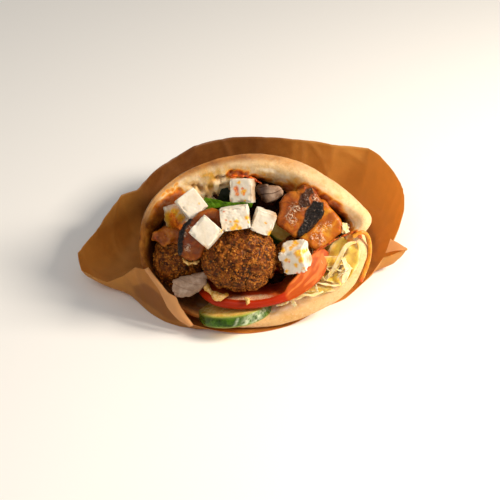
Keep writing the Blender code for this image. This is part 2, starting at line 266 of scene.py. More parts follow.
def chunk(outline, back, front, lean=(0, 0), bevel=1.2, voxel=0.3, smoothing=5):
    # a cut piece seen along the mouth's axis: its outline there, x, y in mm, and its depth from back to front
    corners = np.array(outline, float)
    middle = corners.mean(0)
    area = np.sum(corners[:, 0] * np.roll(corners[:, 1], -1) - np.roll(corners[:, 0], -1) * corners[:, 1])
    corners = corners if area > 0 else corners[::-1]
    along = np.roll(corners, -1, 0) - np.roll(corners, 1, 0)
    inward = np.column_stack([-along[:, 1], along[:, 0]]) / np.linalg.norm(along, axis=1)[:, None]
    rows = []
    for step, level in ((bevel, back), (0, back + bevel), (0, front - bevel), (0.25 * bevel, front - 0.3 * bevel), (bevel, front)):
        ring = corners + inward * step
        tilt = (ring - middle) @ np.array(lean) * (level > (back + front) / 2)
        rows.append(np.column_stack([ring, level + tilt]))
    points = np.concatenate(rows + [[[*middle, back]], [[*middle, front]]])
    count = len(corners)
    rough = meshOf("rough", fromMouth(points), ringFaces(5, count, 5 * count, 5 * count + 1))
    return modified(
        rough,
        ("REMESH", {"mode": "VOXEL", "voxel_size": voxel * mm / fine}),
        ("SMOOTH", {"factor": 0.5, "iterations": smoothing}),
    )


def show(name, mesh, material, replaced=()):
    mesh.materials.clear()
    mesh.materials.append(material)
    mesh.name = name
    obj = bpy.data.objects.new(name, mesh)
    bpy.context.scene.collection.objects.link(obj)
    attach(obj, "root")
    if replaced:
        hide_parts(*replaced)
    print(f"{name}: {sum(len(p.vertices) - 2 for p in mesh.polygons)} triangles")
    return obj


# ---- materials ----
def linear(colour):
    # sRGB hex to linear
    values = [int(colour[i : i + 2], 16) / 255 for i in (1, 3, 5)]
    return [v / 12.92 if v <= 0.04045 else ((v + 0.055) / 1.055) ** 2.4 for v in values] + [1.0]


def addNode(tree, kind, settings=None, inputs=None):
    node = tree.nodes.new(kind)
    for key, value in (settings or {}).items():
        setattr(node, key, value)
    for key, value in (inputs or {}).items():
        socket = node.inputs[key]
        if isinstance(value, bpy.types.NodeSocket):
            tree.links.new(value, socket)
        else:
            isColour = isinstance(value, str) and value.startswith("#")
            socket.default_value = linear(value) if isColour else value
    return node


def newMaterial(name, constants):
    material = bpy.data.materials.new(name)
    material.use_nodes = True
    tree = material.node_tree
    shader = tree.nodes["Principled BSDF"]
    for key, value in constants.items():
        shader.inputs[key].default_value = linear(value) if isinstance(value, str) else value
    place = addNode(tree, "ShaderNodeTexCoord").outputs["Object"]
    return material, tree, shader, place


def pattern(tree, place, size, detail=3.0, rough=0.55, distortion=0.0):
    # noise whose features are this many millimetres across
    inputs = {"Vector": place, "Scale": 1 / (size * mm), "Detail": detail, "Roughness": rough}
    inputs["Distortion"] = distortion
    return addNode(tree, "ShaderNodeTexNoise", None, inputs).outputs["Fac"]


def stops(tree, value, *colours):
    # a ramp from (place, colour) pairs
    node = addNode(tree, "ShaderNodeValToRGB", None, {"Fac": value})
    points = node.color_ramp.elements
    while len(points) < len(colours):
        points.new(0.5)
    for point, (place, colour) in zip(points, colours):
        point.position = place
        point.color = linear(colour) if isinstance(colour, str) else (colour, colour, colour, 1)
    return node.outputs["Color"]


def blend(tree, share, first, second, kind="MIX"):
    settings = {"data_type": "RGBA", "blend_type": kind, "clamp_factor": True}
    return addNode(tree, "ShaderNodeMix", settings, {0: share, 6: first, 7: second}).outputs[2]


def maths(tree, kind, first, second=0.0, clamp=False):
    settings = {"operation": kind, "use_clamp": clamp}
    return addNode(tree, "ShaderNodeMath", settings, {0: first, 1: second}).outputs[0]


def attribute(tree, name):
    return addNode(tree, "ShaderNodeAttribute", {"attribute_name": name}).outputs["Fac"]


def relief(tree, shader, height, depth, under=None):
    # bump this many millimetres deep
    inputs = {"Height": height, "Distance": depth * mm, "Strength": 1.0}
    if under is not None:
        inputs["Normal"] = under
    normal = addNode(tree, "ShaderNodeBump", None, inputs).outputs["Normal"]
    tree.links.new(normal, shader.inputs["Normal"])
    return normal


def wire(tree, shader, **links):
    for name, socket in links.items():
        tree.links.new(socket, shader.inputs[name.replace("_", " ")])


# ---- bread ----
breadSizes = {
    "width": 121,  # the open edge, side to side, in mm
    "middle": (6.5, -32.0),  # of the opening, in the part's drawing
    "lowerLip": 24,
    "upperLip": 26,
    "top": 77,
    "back": 68,
    "backHeight": 11,
    "backX": 2,
    "crown": 4,
    "wall": 7.5,
    "lipRoll": 3.2,
    "floor": 0.85,
    "around": 320,
}


def between(low, high, share):
    return low + (high - low) * share


def hump(angle, centre, width):
    away = (angle - centre + 180) % 360 - 180
    return np.exp(-((away / width) ** 2))


def breadPoints(angle, depth, inset, forward):
    # the pocket's surface in mm, by angle round the opening and depth from mouth to back
    s = breadSizes
    halfWidth = s["width"] / 2 * np.sqrt(1 - (0.975 * depth) ** 2.3)
    lowY = between(s["middle"][1] - s["lowerLip"], s["back"] - 2, depth)
    highY = between(s["middle"][1] + s["upperLip"], s["back"], depth**0.85)
    highZ = between(s["top"], s["backHeight"], depth**0.92) + s["crown"] * np.sin(math.pi * depth)
    midY, midZ = (lowY + highY) / 2, (s["floor"] + highZ) / 2
    riseY, riseZ = (highY - lowY) / 2, (highZ - s["floor"]) / 2
    rise = np.hypot(riseY, riseZ)
    lip = 1 + 0.045 * hump(angle, 17, 9) - 0.07 * hump(angle, 4, 6) + 0.035 * hump(angle, 220, 26)
    lip = lip - 0.03 * hump(angle, 345, 16) - 0.04 * hump(angle, 300, 24) - 0.05 * hump(angle, 44, 20)
    front = 0.38 * hump(angle, 70, 50) - 0.5 * hump(angle, 195, 42) - 0.22 * hump(angle, 252, 34)
    front = front + 0.5 * hump(angle, 305, 34) + 0.3 * hump(angle, 345, 18)
    folded = 16 * hump(angle, 126, 24) + 11 * hump(angle, 48, 34) + 5 * hump(angle, 172, 26)
    folded = folded * ramp(depth, -0.04, 0.13) * (1 - ramp(depth, 0.35, 0.8))
    wall = (s["wall"] * (1 + front * (1 - depth)) * between(1, 0.8, depth) + folded) * inset
    reach = between(lip, 1, np.minimum(1, depth * 3))
    turn = np.radians(angle)
    sine = np.sin(turn)
    flat = np.where(sine < 0, between(1, 0.62, np.minimum(1, depth * 4)), 1)
    height = np.sign(sine) * np.abs(sine) ** flat * (rise * reach - wall)
    centreX = between(s["middle"][0], s["backX"], depth)
    x = centreX + (halfWidth * reach - wall) * np.cos(turn)
    y = midY + riseY / rise * height - riseZ / rise * forward
    z = midZ + riseZ / rise * height + riseY / rise * forward
    return np.stack([x, y, z], axis=-1) + designShift


def makeBread():
    around = int(breadSizes["around"] * fine)
    outside = 0.985 * np.linspace(1, 0, int(80 * fine)) ** 1.25
    lip = np.linspace(0, 1, int(20 * fine))[1:-1]
    inside = 0.82 * np.linspace(0, 1, int(60 * fine)) ** 1.2
    depth = np.concatenate([outside, 0 * lip, inside])
    inset = np.concatenate([0 * outside, lip, 0 * inside + 1])
    forward = breadSizes["lipRoll"] * np.sin(math.pi * inset) ** 0.75
    angle = np.linspace(0, 360, around, endpoint=False)
    torn = hump(angle, 142, 44)[None, :]
    slanted = depth[:, None] + 0.075 * torn * inset[:, None]
    grid = breadPoints(angle[None, :], slanted, inset[:, None], forward[:, None] * (1 - 0.65 * torn))
    rings = len(depth)
    points = grid.reshape(-1, 3)
    poles = np.array([grid[0].mean(0) + (0, 0.4, 0), grid[-1].mean(0) + (0, 2, 0)])
    faces = ringFaces(rings, around, len(points), len(points) + 1)
    mesh = meshOf("bread", np.concatenate([points, poles]) * mm, faces)
    angles = np.append(np.tile(angle, rings), (0, 0))
    depths = np.append(np.repeat(depth, around), (1, 0.82))
    insets = np.append(np.repeat(inset, around), (0, 1))
    spots = coordinates(mesh) / mm
    # soft unevenness, then the torn crumb of the inner face
    height = 0.7 * softNoise(spots, 24, 3, 2) + 0.25 * softNoise(spots, 7, 8, 2)
    tear = hump(angles, 142, 40)
    inner = ramp(insets, 0.45 - 0.35 * tear, 0.95 - 0.6 * tear)
    leftTop = hump(angles, 130, 40) * inner
    around_ = np.stack([np.radians(angles) * 50 / 6, insets * 8 + depths * 60, 0 * angles], axis=-1)
    streaks = softNoise(around_, 1.5, 7, 3)
    near, second, tag = grains(spots + 1.5 * softNoise(spots, 6, 5)[:, None], 5.0, 2)
    holes = (1 - ramp(near, 0.12, 0.4)) * (tag > 0.45) * leftTop * ramp(depths, 0.03, 0.1)
    flat = toMouth(spots * mm)
    warped = flat + 1.2 * np.stack([softNoise(flat, 2.2, salt, 2) for salt in (24, 25, 26)], axis=-1)
    for x, y, radius in breadTears:
        away = np.hypot(warped[:, 0] - x, (warped[:, 1] - y) * 1.3) / radius
        holes = np.maximum(holes, (1 - ramp(away, 0.55, 1.1)) * inner)
    fibres = softNoise(spots * (1, 0.45, 1), 1.8, 6, 3)
    height = height - 1.9 * holes + inner * (0.35 + 0.5 * leftTop) * fibres + 0.55 * tear * inner * streaks
    outer = 1 - ramp(insets, 0.1, 0.6)
    height = height + 0.10 * outer * softNoise(spots, 1.6, 9, 2)
    push(mesh, height * mm)
    spots = toMouth(coordinates(mesh))
    mark(mesh, "inner", inner)
    mark(mesh, "holes", holes)
    # painted shade: the crumb face darker deeper in the pocket and on the inner side of the lip's left and lower left
    shade = np.maximum(0.5 * hump(angles, 222, 34), 0.85 * hump(angles, 184, 30)) * ramp(insets, 0.65, 0.98)
    mark(mesh, "deep", np.maximum(ramp(depths, 0.12, 0.34), shade) * inner)
    # the lip darker brown on its left and lower left: partly an oil stain, partly painted shade on the side away from
    # the light
    mark(mesh, "soaked", ramp(hump(angles, 190, 38) + 0.5 * hump(angles, 240, 20) + 0.12 * softNoise(spots, 7, 13, 2), 0.12, 0.8))
    mark(mesh, "toasted", hump(angles, 106, 50) * (1 - ramp(insets, 0.12, 0.5 + 0.25 * softNoise(spots, 9, 12, 2))))
    mark(mesh, "sauce", smeared(spots, breadSauce) * ramp(inner, 0.02, 0.5))
    mark(mesh, "mustard", smeared(spots, breadMustard) * ramp(insets, 0.1, 0.5))
    mark(mesh, "streaks", 0.5 + 0.5 * streaks)
    return show("bread", mesh, crustMaterial(), ["pita_bread"])


# torn hollows in the inner face: x, y in the mouth's frame and a radius, in mm
breadTears = (
    (-29, 27.3, 2.2), (-23.5, 27, 2.3), (-21, 24.3, 1.9), (-19.5, 32.3, 2.4), (-16.3, 33.4, 1.6),
    (-25.5, 22.8, 1.6), (-17.5, 29, 1.5), (-33, 28.6, 1.3), (-12.5, 36, 1.2),
)
# smears on the bread: x, y in the mouth's frame in mm, radius, strength
breadSauce = (
    (-49, 25, 1.1, 0.45), (-46.5, 26.6, 1.2, 0.5), (-44, 27.6, 1.2, 0.5), (-41.5, 29.4, 1.1, 0.45), (-39.5, 23.5, 3.2, 0.9),
    (-42, 23, 3.2, 0.85), (-44, 21.5, 3.6, 0.9), (-46, 19.6, 3.6, 0.95), (-48, 17.6, 3.6, 0.9), (-49.6, 15, 4, 1.0),
    (-51, 11.5, 4.2, 1.0), (-52, 8, 4.4, 1.0), (-53, 4, 4.4, 1.0),
    (-13, 34.8, 2.2, 0.9), (-9, 35.3, 2.4, 0.9), (-5, 34.6, 2.2, 0.95), (-1, 33.2, 2.0, 0.8), (3, 31.4, 2.6, 0.85),
    (7, 31.2, 2.2, 0.5), (12, 29, 2.5, 0.6), (17, 28, 3.0, 0.75), (21.5, 30.5, 2.0, 0.3), (24, 27, 3.2, 0.85),
    (30, 24.5, 3.6, 0.9), (36, 21.5, 3.6, 0.9), (41, 22, 2.2, 0.35), (41, 17, 3.6, 0.9), (45, 12, 3.2, 0.8),
    (48, 7, 3, 0.7), (44, 20.5, 1.2, 0.4), (52, 3, 2.6, 0.9), (50, 0, 3, 0.5), (55, 2, 1.5, 0.5),
)
breadMustard = (
    (-27, 35, 2.8, 0.8), (-23.5, 33.5, 2.8, 0.85), (-24.5, 30, 1.9, 0.75), (-19.5, 36.6, 1.8, 0.6), (-30, 36, 2.2, 0.5),
    (-33, 32, 2.5, 0.45), (-15, 37.5, 2, 0.4), (-20, 23, 3, 0.35), (20, 31.8, 1.5, 0.5), (42.5, 23, 1.6, 0.5),
)


def smeared(spots, smears):
    warped = spots + 2.0 * np.stack([softNoise(spots, 4, salt, 3) for salt in (21, 22, 23)], axis=-1)
    total = np.zeros(len(spots))
    for x, y, radius, strength in smears:
        away = np.hypot(warped[:, 0] - x, warped[:, 1] - y) / radius
        total = np.maximum(total, strength * (1 - ramp(away, 0.45, 1.6)))
    return total


def crustMaterial():
    # soft pocket bread: steamed crumb under a thin dry crust, dusted and browned where it touched the oven
    material, tree, shader, place = newMaterial("bakedCrust", {
        "Roughness": 0.62, "IOR": 1.45, "Subsurface Weight": 0.18, "Subsurface Scale": 1.5 * mm,
        "Subsurface Radius": (1.0, 0.55, 0.3), "Specular IOR Level": 0.2,
    })
    broad = pattern(tree, place, 26, 3)
    crust = stops(tree, broad, (0.3, "#EED0A2"), (0.52, "#E8C088"), (0.7, "#DCA862"))
    toast = stops(tree, pattern(tree, place, 9, 4, 0.6, 0.4), (0.6, 0.0), (0.78, 0.5))
    crust = blend(tree, toast, crust, "#C98B45")
    dimples = stops(tree, pattern(tree, place, 2.4, 4, 0.65), (0.36, 0.35), (0.5, 0.0))
    crust = blend(tree, dimples, crust, "#C8904A")
    flour = stops(tree, pattern(tree, place, 1.1, 2), (0.55, 0.0), (0.72, 0.35))
    crust = blend(tree, flour, crust, "#F3DDB8")
    brown = stops(tree, pattern(tree, place, 6, 4, 0.6), (0.35, "#7C3E0E"), (0.6, "#AE6C26"))
    crust = blend(tree, maths(tree, "MULTIPLY", attribute(tree, "toasted"), 0.9), crust, brown)
    crumbTone = stops(tree, pattern(tree, place, 3, 4), (0.35, "#E0B87C"), (0.5, "#F2DAAE"), (0.66, "#FCF0D8"))
    streak = stops(tree, attribute(tree, "streaks"), (0.3, "#D2A25A"), (0.5, "#ECCC94"), (0.68, "#FFF4DE"))
    crumbTone = blend(tree, 0.5, crumbTone, streak)
    colour = blend(tree, attribute(tree, "inner"), crust, crumbTone)
    # painted shade: the torn hollows are darkened towards #A06A28
    colour = blend(tree, maths(tree, "MULTIPLY", attribute(tree, "holes"), 0.7), colour, "#A06A28")
    mustardTone = stops(tree, pattern(tree, place, 2, 3), (0.4, "#BE8E1A"), (0.6, "#DE9A10"))
    colour = blend(tree, attribute(tree, "mustard"), colour, mustardTone)
    sauceTone = stops(tree, attribute(tree, "sauce"), (0.2, "#F0B044"), (0.5, "#DE8420"), (0.76, "#B8560E"), (0.95, "#762C08"))
    blotch = stops(tree, pattern(tree, place, 2.5, 3), (0.35, 0.85), (0.6, 1.0))
    share = maths(tree, "MULTIPLY", stops(tree, attribute(tree, "sauce"), (0.02, 0.0), (0.35, 1.0)), blotch)
    colour = blend(tree, share, colour, sauceTone)
    # oil stain and painted shade on the lip's left side
    soakedAndShadedTone = stops(tree, pattern(tree, place, 5, 4, 0.6), (0.35, "#6E3608"), (0.6, "#A4661E"))
    colour = blend(tree, attribute(tree, "soaked"), colour, soakedAndShadedTone)
    # painted shade deep in the pocket, to #3A1404
    colour = blend(tree, attribute(tree, "deep"), colour, "#3A1404")
    wire(tree, shader, Base_Color=colour)
    shine = maths(tree, "SUBTRACT", 0.66, maths(tree, "MULTIPLY", attribute(tree, "sauce"), 0.38))
    wire(tree, shader, Roughness=shine)
    relief(tree, shader, pattern(tree, place, 1.3, 5, 0.7), 0.26)
    return material


makeBread()


# ---- paper ----
paperSizes = {
    "middle": (4.0, 5.0),
    "thickness": 0.16,
    "around": 360,
    "ripple": 0.8,
    "crumple": 0.9,
}
# bearing in degrees, then in mm: where the sheet leaves the floor, how far its edge reaches, how high that stands
paperEdge = (
    (0, 64, 79, 15), (9, 67, 87, 26), (19, 70, 93, 30), (28, 72, 95, 33), (36, 74, 95, 37), (42, 74, 94, 38),
    (54, 74, 82, 38), (71, 71, 76, 38), (84, 70, 76, 38), (98, 70, 77, 38), (107, 69, 76, 38), (117, 68, 74, 38),
    (126, 67, 74, 34), (136, 66, 73, 32), (148, 65, 70, 32), (155, 65, 72, 29), (161, 65, 78, 29),
    (172, 65, 80, 28), (182, 65, 86, 23), (189, 66, 96, 17), (194, 67, 95, 11), (201, 70, 83, 8),
    (208, 71, 76, 17), (215, 71, 73, 27), (222, 71, 72, 30), (230, 70.5, 72.5, 22), (237, 69, 72, 14),
    (245, 66, 71, 6), (256, 58, 66, 1.5), (270, 56, 64, 0.3), (290, 54, 61, 0.3), (310, 50, 56, 0.3),
    (326, 52, 62, 0.6), (340, 57, 69, 8), (349, 60, 74, 13), (354.5, 62, 87, 15),
)


# parts of the standing edge, x and y in the mouth's frame in mm: where it turns over, painted lighter as a highlight,
# and folds given painted shade
turnedCorners = (
    ((-58, -13), (-53, -15), (-49, -20), (-44.5, -26), (-40, -29), (-39, -33), (-36, -38), (-32, -44), (-35, -45),
     (-41, -40), (-45.5, -33.5), (-47, -28), (-51, -22)),
)
turnedStrips = (
    # a strip folded back over the edge: one side, then the other, x, y, z in the mouth's frame in mm
    (((-57.5, -14.5, 3.6), (-52, -22, 5.4), (-48.5, -28, 6), (-46, -33, 6), (-41, -39.5, 5.2), (-34, -44.6, 3.6)),
     ((-55.5, -13.6, 4), (-49.5, -20.8, 6), (-44.6, -26.6, 7.6), (-40.6, -29, 8.6), (-38.6, -34, 7.4), (-32.2, -43.4, 3.9))),
    (((75.4, 1.6, -45), (80, -1.4, -41), (84, -4.2, -37.4)), ((72, -6.2, -38), (77.5, -5.0, -37), (83.6, -4.8, -36.8))),
)
shadedFolds = (
    ((56, 12), (60, 6), (64, 1), (69, -6), (66, -8), (60, -7), (56, -4)),
    ((-66, -24), (-58, -22), (-50, -27), (-44, -34), (-40, -42), (-46, -41), (-56, -34), (-64, -29)),
    ((70, -5.6), (75, -4.2), (82, -4.4), (82, -6), (76, -6.6), (73, -9), (71, -13), (69, -15), (68, -9)),
)


def makePaper():
    s = paperSizes
    around = int(s["around"] * fine)
    bearing = np.linspace(0, 360, around, endpoint=False)
    table = np.array(paperEdge)
    floor, reach, height = (
        np.interp(bearing, table[:, 0], table[:, column], period=360) for column in (1, 2, 3)
    )
    flat = np.linspace(0.02, 1, int(20 * fine)) ** 0.8
    stand = np.linspace(0, 1, int(46 * fine))[1:]
    turn = np.radians(bearing)
    way = np.stack([np.cos(turn), np.sin(turn)], axis=-1)
    middle = np.array(s["middle"]) + designShift[:2]
    rows = []
    for share in flat:
        rows.append(np.column_stack([middle + way * (floor * share)[:, None], 0 * floor]))
    bend = np.minimum(0.85, 0.35 + (reach - floor) / 30)
    knee = between(floor, reach, bend)
    for share in stand:
        away = floor * (1 - share) ** 2 + knee * 2 * share * (1 - share) + reach * share**2
        away = away + s["ripple"] * np.sin(5 * turn + 2) * share * np.minimum(1, height / 20)
        rows.append(np.column_stack([middle + way * away[:, None], height * share**2]))
    grid = np.array(rows)
    points = np.concatenate([grid.reshape(-1, 3), [[*middle, 0]]])
    faces = ringFaces(len(rows), around, len(points) - 1)
    mesh = bpy.data.meshes.new("paper")
    mesh.from_pydata((points * mm).tolist(), [], faces)
    for polygon in mesh.polygons[:1]:
        if polygon.normal.z < 0:
            mesh.flip_normals()
    spots = coordinates(mesh) / mm
    standing = np.append(np.repeat(np.concatenate([0 * flat, stand]), around), 0)
    near, second, tag = grains(spots * (1, 1, 0.6) + 5 * softNoise(spots, 30, 31)[:, None], 26, 4)
    fold = 1 - ramp(second - near, 0.0, 0.16)
    rim = np.append(np.tile(height, len(rows)), 0)
    amount = ramp(standing, 0, 0.25) * ramp(rim, 1, 16)
    heights = amount * s["crumple"] * (softNoise(spots, 34, 35, 2) + 0.5 * fold - 0.2)
    heights = heights + amount * 0.12 * softNoise(spots, 3.5, 36, 2)
    heights = heights + s["thickness"] * (1 - amount)
    push(mesh, heights * mm)
    mark(mesh, "fold", fold * amount)
    mark(mesh, "standing", standing)
    seen = toMouth(coordinates(mesh))
    for name, outlines in (("turnedOver", turnedCorners), ("shaded", shadedFolds)):
        total = np.max([ramp(within(seen, outline), -0.8, 0.8) for outline in outlines], axis=0)
        mark(mesh, name, total * ramp(standing, 0.15, 0.3))
    # painted shade: darker towards the left and the top, less so at the far left; it also weakens the glow there
    mark(mesh, "dim", ramp(-seen[:, 0], -48, 18) * ramp(seen[:, 1], -5, 26) * (1 - 0.4 * ramp(-seen[:, 0], 58, 76)))
    # painted light: lighter towards the right and at the far left
    mark(mesh, "sunny", ramp(seen[:, 0], 5, 62) + 0.7 * ramp(-seen[:, 0], 56, 76))
    mesh = modified(mesh, ("SOLIDIFY", {"thickness": s["thickness"] * mm, "offset": 0.0}))
    return show("paper", mesh, paperMaterial(), ["paper_wrap"])


def paperMaterial():
    # greaseproof kraft: unbleached beaten fibres, rolled smooth, that let some light through
    material, tree, shader, place = newMaterial("greaseproofKraft", {
        "Roughness": 0.5, "IOR": 1.5, "Specular IOR Level": 0.4,
    })
    broad = pattern(tree, place, 40, 3, 0.5)
    tone = stops(tree, broad, (0.3, "#A86A26"), (0.5, "#BC7E32"), (0.7, "#CC9240"))
    mottle = stops(tree, pattern(tree, place, 5, 4, 0.6), (0.35, "#8E5218"), (0.65, "#D89C4A"))
    tone = blend(tree, 0.32, tone, mottle)
    fibre = pattern(tree, place, 0.9, 3, 0.6, 1.5)
    tone = blend(tree, stops(tree, fibre, (0.5, 0.0), (0.75, 0.28)), tone, "#E6B47C")
    # lighter along the creases: partly whitened fibre, partly painted highlight
    tone = blend(tree, maths(tree, "MULTIPLY", attribute(tree, "fold"), 0.3), tone, "#D8A564")
    tone = blend(tree, maths(tree, "MULTIPLY", attribute(tree, "shaded"), 0.6), tone, "#7A4312")
    # painted highlight: the turned-over paper lighter, as if catching the light
    tone = blend(tree, maths(tree, "MULTIPLY", attribute(tree, "turnedOver"), 0.7), tone, "#EDBE86")
    # painted light, lighter to the right
    tone = blend(tree, maths(tree, "MULTIPLY", attribute(tree, "sunny"), 0.6), tone, "#E4B45A")
    # painted shade, darker to the left and top
    tone = blend(tree, attribute(tree, "dim"), tone, "#B09A90", "MULTIPLY")
    wire(tree, shader, Base_Color=tone)
    relief(tree, shader, fibre, 0.05)
    # less glow where the shade is painted
    blendShare = maths(tree, "MULTIPLY", maths(tree, "SUBTRACT", 1.0, attribute(tree, "dim")), 0.8)
    glow = addNode(tree, "ShaderNodeBsdfTranslucent", None, {"Color": blend(tree, blendShare, tone, "#FFC272")})
    mixed = addNode(tree, "ShaderNodeMixShader", None, {0: 0.46, 1: shader.outputs[0], 2: glow.outputs[0]})
    tree.links.new(mixed.outputs[0], tree.nodes["Material Output"].inputs["Surface"])
    return material


def makeTurnedStrips():
    material = bpy.data.materials["greaseproofKraft"]
    parts = []
    for first, second in turnedStrips:
        a, b = smoothPath(first, 60), smoothPath(second, 60)
        rows = [a + (b - a) * t + (0, 0, 0.9 * math.sin(math.pi * t)) for t in np.linspace(0, 1, 14)]
        points = np.concatenate(rows)
        mesh = bpy.data.meshes.new("strip")
        mesh.from_pydata(fromMouth(points + 0.35 * softNoise(points, 5, 37, 2)[:, None]).tolist(), [], ringFaces(14, 60, wrap=False))
        parts.append(modified(mesh, ("SOLIDIFY", {"thickness": paperSizes["thickness"] * mm, "offset": 0.0})))
    whole = faceOut(joined(parts))
    # the strips take the turned-over painted highlight and some painted light
    for name, value in (("fold", 0), ("shaded", 0), ("turnedOver", 1), ("standing", 1), ("dim", 0), ("sunny", 0.3)):
        mark(whole, name, np.full(len(whole.vertices), float(value)))
    show("paperTurns", whole, material, ())


makePaper()
makeTurnedStrips()
print("bread and paper done")


# ---- spots and smears on the filling ----
def spotted(mesh, name, spots, warp=0.9, soft=0.6):
    # a mark of 0 to 1 round each spot: x, y in the mouth's frame and a radius, in mm
    points = toMouth(coordinates(mesh))
    warped = points + warp * np.stack([softNoise(points, 1.6, salt, 2) for salt in (41, 42, 43)], axis=-1)
    total = np.zeros(len(points))
    for x, y, radius in spots:
        away = np.hypot(warped[:, 0] - x, warped[:, 1] - y) / radius
        total = np.maximum(total, 1 - ramp(away, 1 - soft, 1 + 0.3 * soft))
    mark(mesh, name, total)


# ---- falafel ----
falafelBalls = (
    # piece, node, place in the mouth, share of the full size along each axis
    ("falafelFront", "falafel_front", (-8.2, -8.8, 9.4), (1.03, 0.91, 0.93)),
    ("falafelLeft", "falafel_left", (-38.3, -9.6, -9.2), (0.84, 0.84, 0.77)),
    ("falafelRight", "falafel_right", (20.3, -8.0, -6.2), (0.58, 0.58, 0.58)),
)
falafelSizes = {
    "diameter": 38,
    "lumpDepth": 1.0,
    "grainSize": 1.8,
    "grainDepth": 0.9,
    "crumbsPerCm2": 60,
    "smallestCrumb": 0.4,
    "largestCrumb": 1.1,
}
tomatoSizes = {"width": 71, "thickness": 4.7, "lift": 13, "place": (3.8, -16.2, -18.7), "turn": (-62, 0, 5)}


def tomatoTop(points):
    # how far points in mm, in the mouth's frame, stand above the tomato's upper face
    s = tomatoSizes
    local = (points - s["place"]) @ turned(s["turn"])
    radius = s["width"] / 2
    right = np.maximum(0, local[:, 0] / radius)
    inside = np.hypot(local[:, 0], local[:, 1]) < radius + 1
    above = local[:, 2] - s["thickness"] / 2 - s["lift"] * right**2
    return local, above, inside


def restOnTomato(points, gap=0.3):
    local, above, inside = tomatoTop(points)
    lift = np.where(inside & (above < gap) & (above > -16), gap - above, 0)
    local[:, 2] += lift
    return local @ turned(tomatoSizes["turn"]).T + tomatoSizes["place"]


def makeFalafel():
    s = falafelSizes
    material = falafelMaterial("friedCrust", False)
    made = []
    for seed, (name, node, place, shares) in enumerate(falafelBalls):
        bm = bmesh.new()
        bmesh.ops.create_icosphere(bm, subdivisions=6, radius=1)
        mesh = bpy.data.meshes.new(name)
        bm.to_mesh(mesh)
        bm.free()
        mesh.shade_smooth()
        way = coordinates(mesh)
        dent = [1 + 0.045 * noise.noise(Vector(w) * 1.7 + Vector((seed, 0, seed))) for w in way]
        ball = way * np.array(dent)[:, None] * np.array(shares) * s["diameter"] / 2
        uneven = np.stack([softNoise(ball, 1.6, salt, 2) for salt in (50, 57, 58)], axis=-1)
        near, second, tag = grains((ball + 0.9 * uneven) * (1, 1.25, 0.9), s["grainSize"], 51 + seed)
        height = s["lumpDepth"] * softNoise(ball, 6, 52 + seed, 3)
        height = height + s["grainDepth"] * (0.5 - near) * (0.3 + 1.2 * tag)
        height = height + 0.55 * softNoise(ball, 1.5, 54 + seed, 3)
        cracks = ramp(-softNoise(ball * (1, 1, 0.8), 3.4, 60 + seed, 3), 0.12, 0.5)
        height = height - 0.75 * cracks
        cleft = ramp(0.22 - np.abs(softNoise(ball * (1, 0.35, 0.6), 7, 64 + seed, 1)), 0.06, 0.2) * ramp(-way[:, 1], 0.3, 0.8)
        height = height - 1.5 * cleft
        ball = ball + way * height[:, None]
        ball = ball + place
        if node != "falafel_front":
            ball = restOnTomato(ball)
        setCoordinates(mesh, fromMouth(ball))
        mark(mesh, "tint", tag)
        # painted shade: the gaps between grains, the cracks and the cleft
        mark(mesh, "gap", np.maximum(ramp(near, 0.45, 0.85), np.maximum(0.85 * cracks, 0.8 * cleft)))
        made.append(show(name, mesh, material, [node]))
    return made


def falafelMaterial(name, loose):
    # chickpea and herb paste, deep fried: a dry craggy crust with an oil sheen on its high points
    material, tree, shader, place = newMaterial(name, {"IOR": 1.46, "Specular IOR Level": 0.16})
    tint = attribute(tree, "tint")
    crumbTone = stops(
        tree, tint, (0.0, "#301404"), (0.18, "#5C2A07"), (0.42, "#80400C"), (0.68, "#9A5414"),
        (0.88, "#AC661C"), (0.98, "#C28034"),
    )
    broad = pattern(tree, place, 7, 3)
    tone = blend(tree, stops(tree, broad, (0.42, 0.0), (0.68, 0.6)), crumbTone, "#4E2206")
    fleck = addNode(tree, "ShaderNodeTexVoronoi", None, {"Vector": place, "Scale": 1 / (1.0 * mm)})
    split = addNode(tree, "ShaderNodeSeparateColor", None, {"Color": fleck.outputs["Color"]})
    light = stops(tree, split.outputs["Red"], (0.9, 0.0), (0.97, 0.6))
    tone = blend(tree, light, tone, "#B86E26")
    green = stops(tree, split.outputs["Green"], (0.9, 0.0), (0.95, 0.7))
    tone = blend(tree, green, tone, "#2A260A")
    if not loose:
        # painted shade in the gaps, cracks and cleft
        tone = blend(tree, maths(tree, "MULTIPLY", attribute(tree, "gap"), 0.72), tone, "#1E0A03")
    wire(tree, shader, Base_Color=tone)
    wire(tree, shader, Roughness=stops(tree, pattern(tree, place, 1.6, 2), (0.4, 0.42), (0.6, 0.7)))
    relief(tree, shader, pattern(tree, place, 0.45, 3, 0.6), 0.12)
    return material


# ---- crumbs ----
def crumbShapes(seed, count=4):
    # a few angular crumbs of one unit across, in a collection of their own
    group = bpy.data.collections.new("crumbShapes")
    for number in range(count):
        bm = bmesh.new()
        bmesh.ops.create_icosphere(bm, subdivisions=1, radius=0.5)
        for vertex in bm.verts:
            uneven = noise.noise_vector(vertex.co * 2.3 + Vector((number * 5.1, seed, 0)))
            vertex.co = Vector(a * (1 + 0.55 * b) for a, b in zip(vertex.co, uneven)) + 0.12 * uneven
        mesh = bpy.data.meshes.new(f"crumbShape{number}")
        bm.to_mesh(mesh)
        bm.free()
        group.objects.link(bpy.data.objects.new(mesh.name, mesh))
    return group


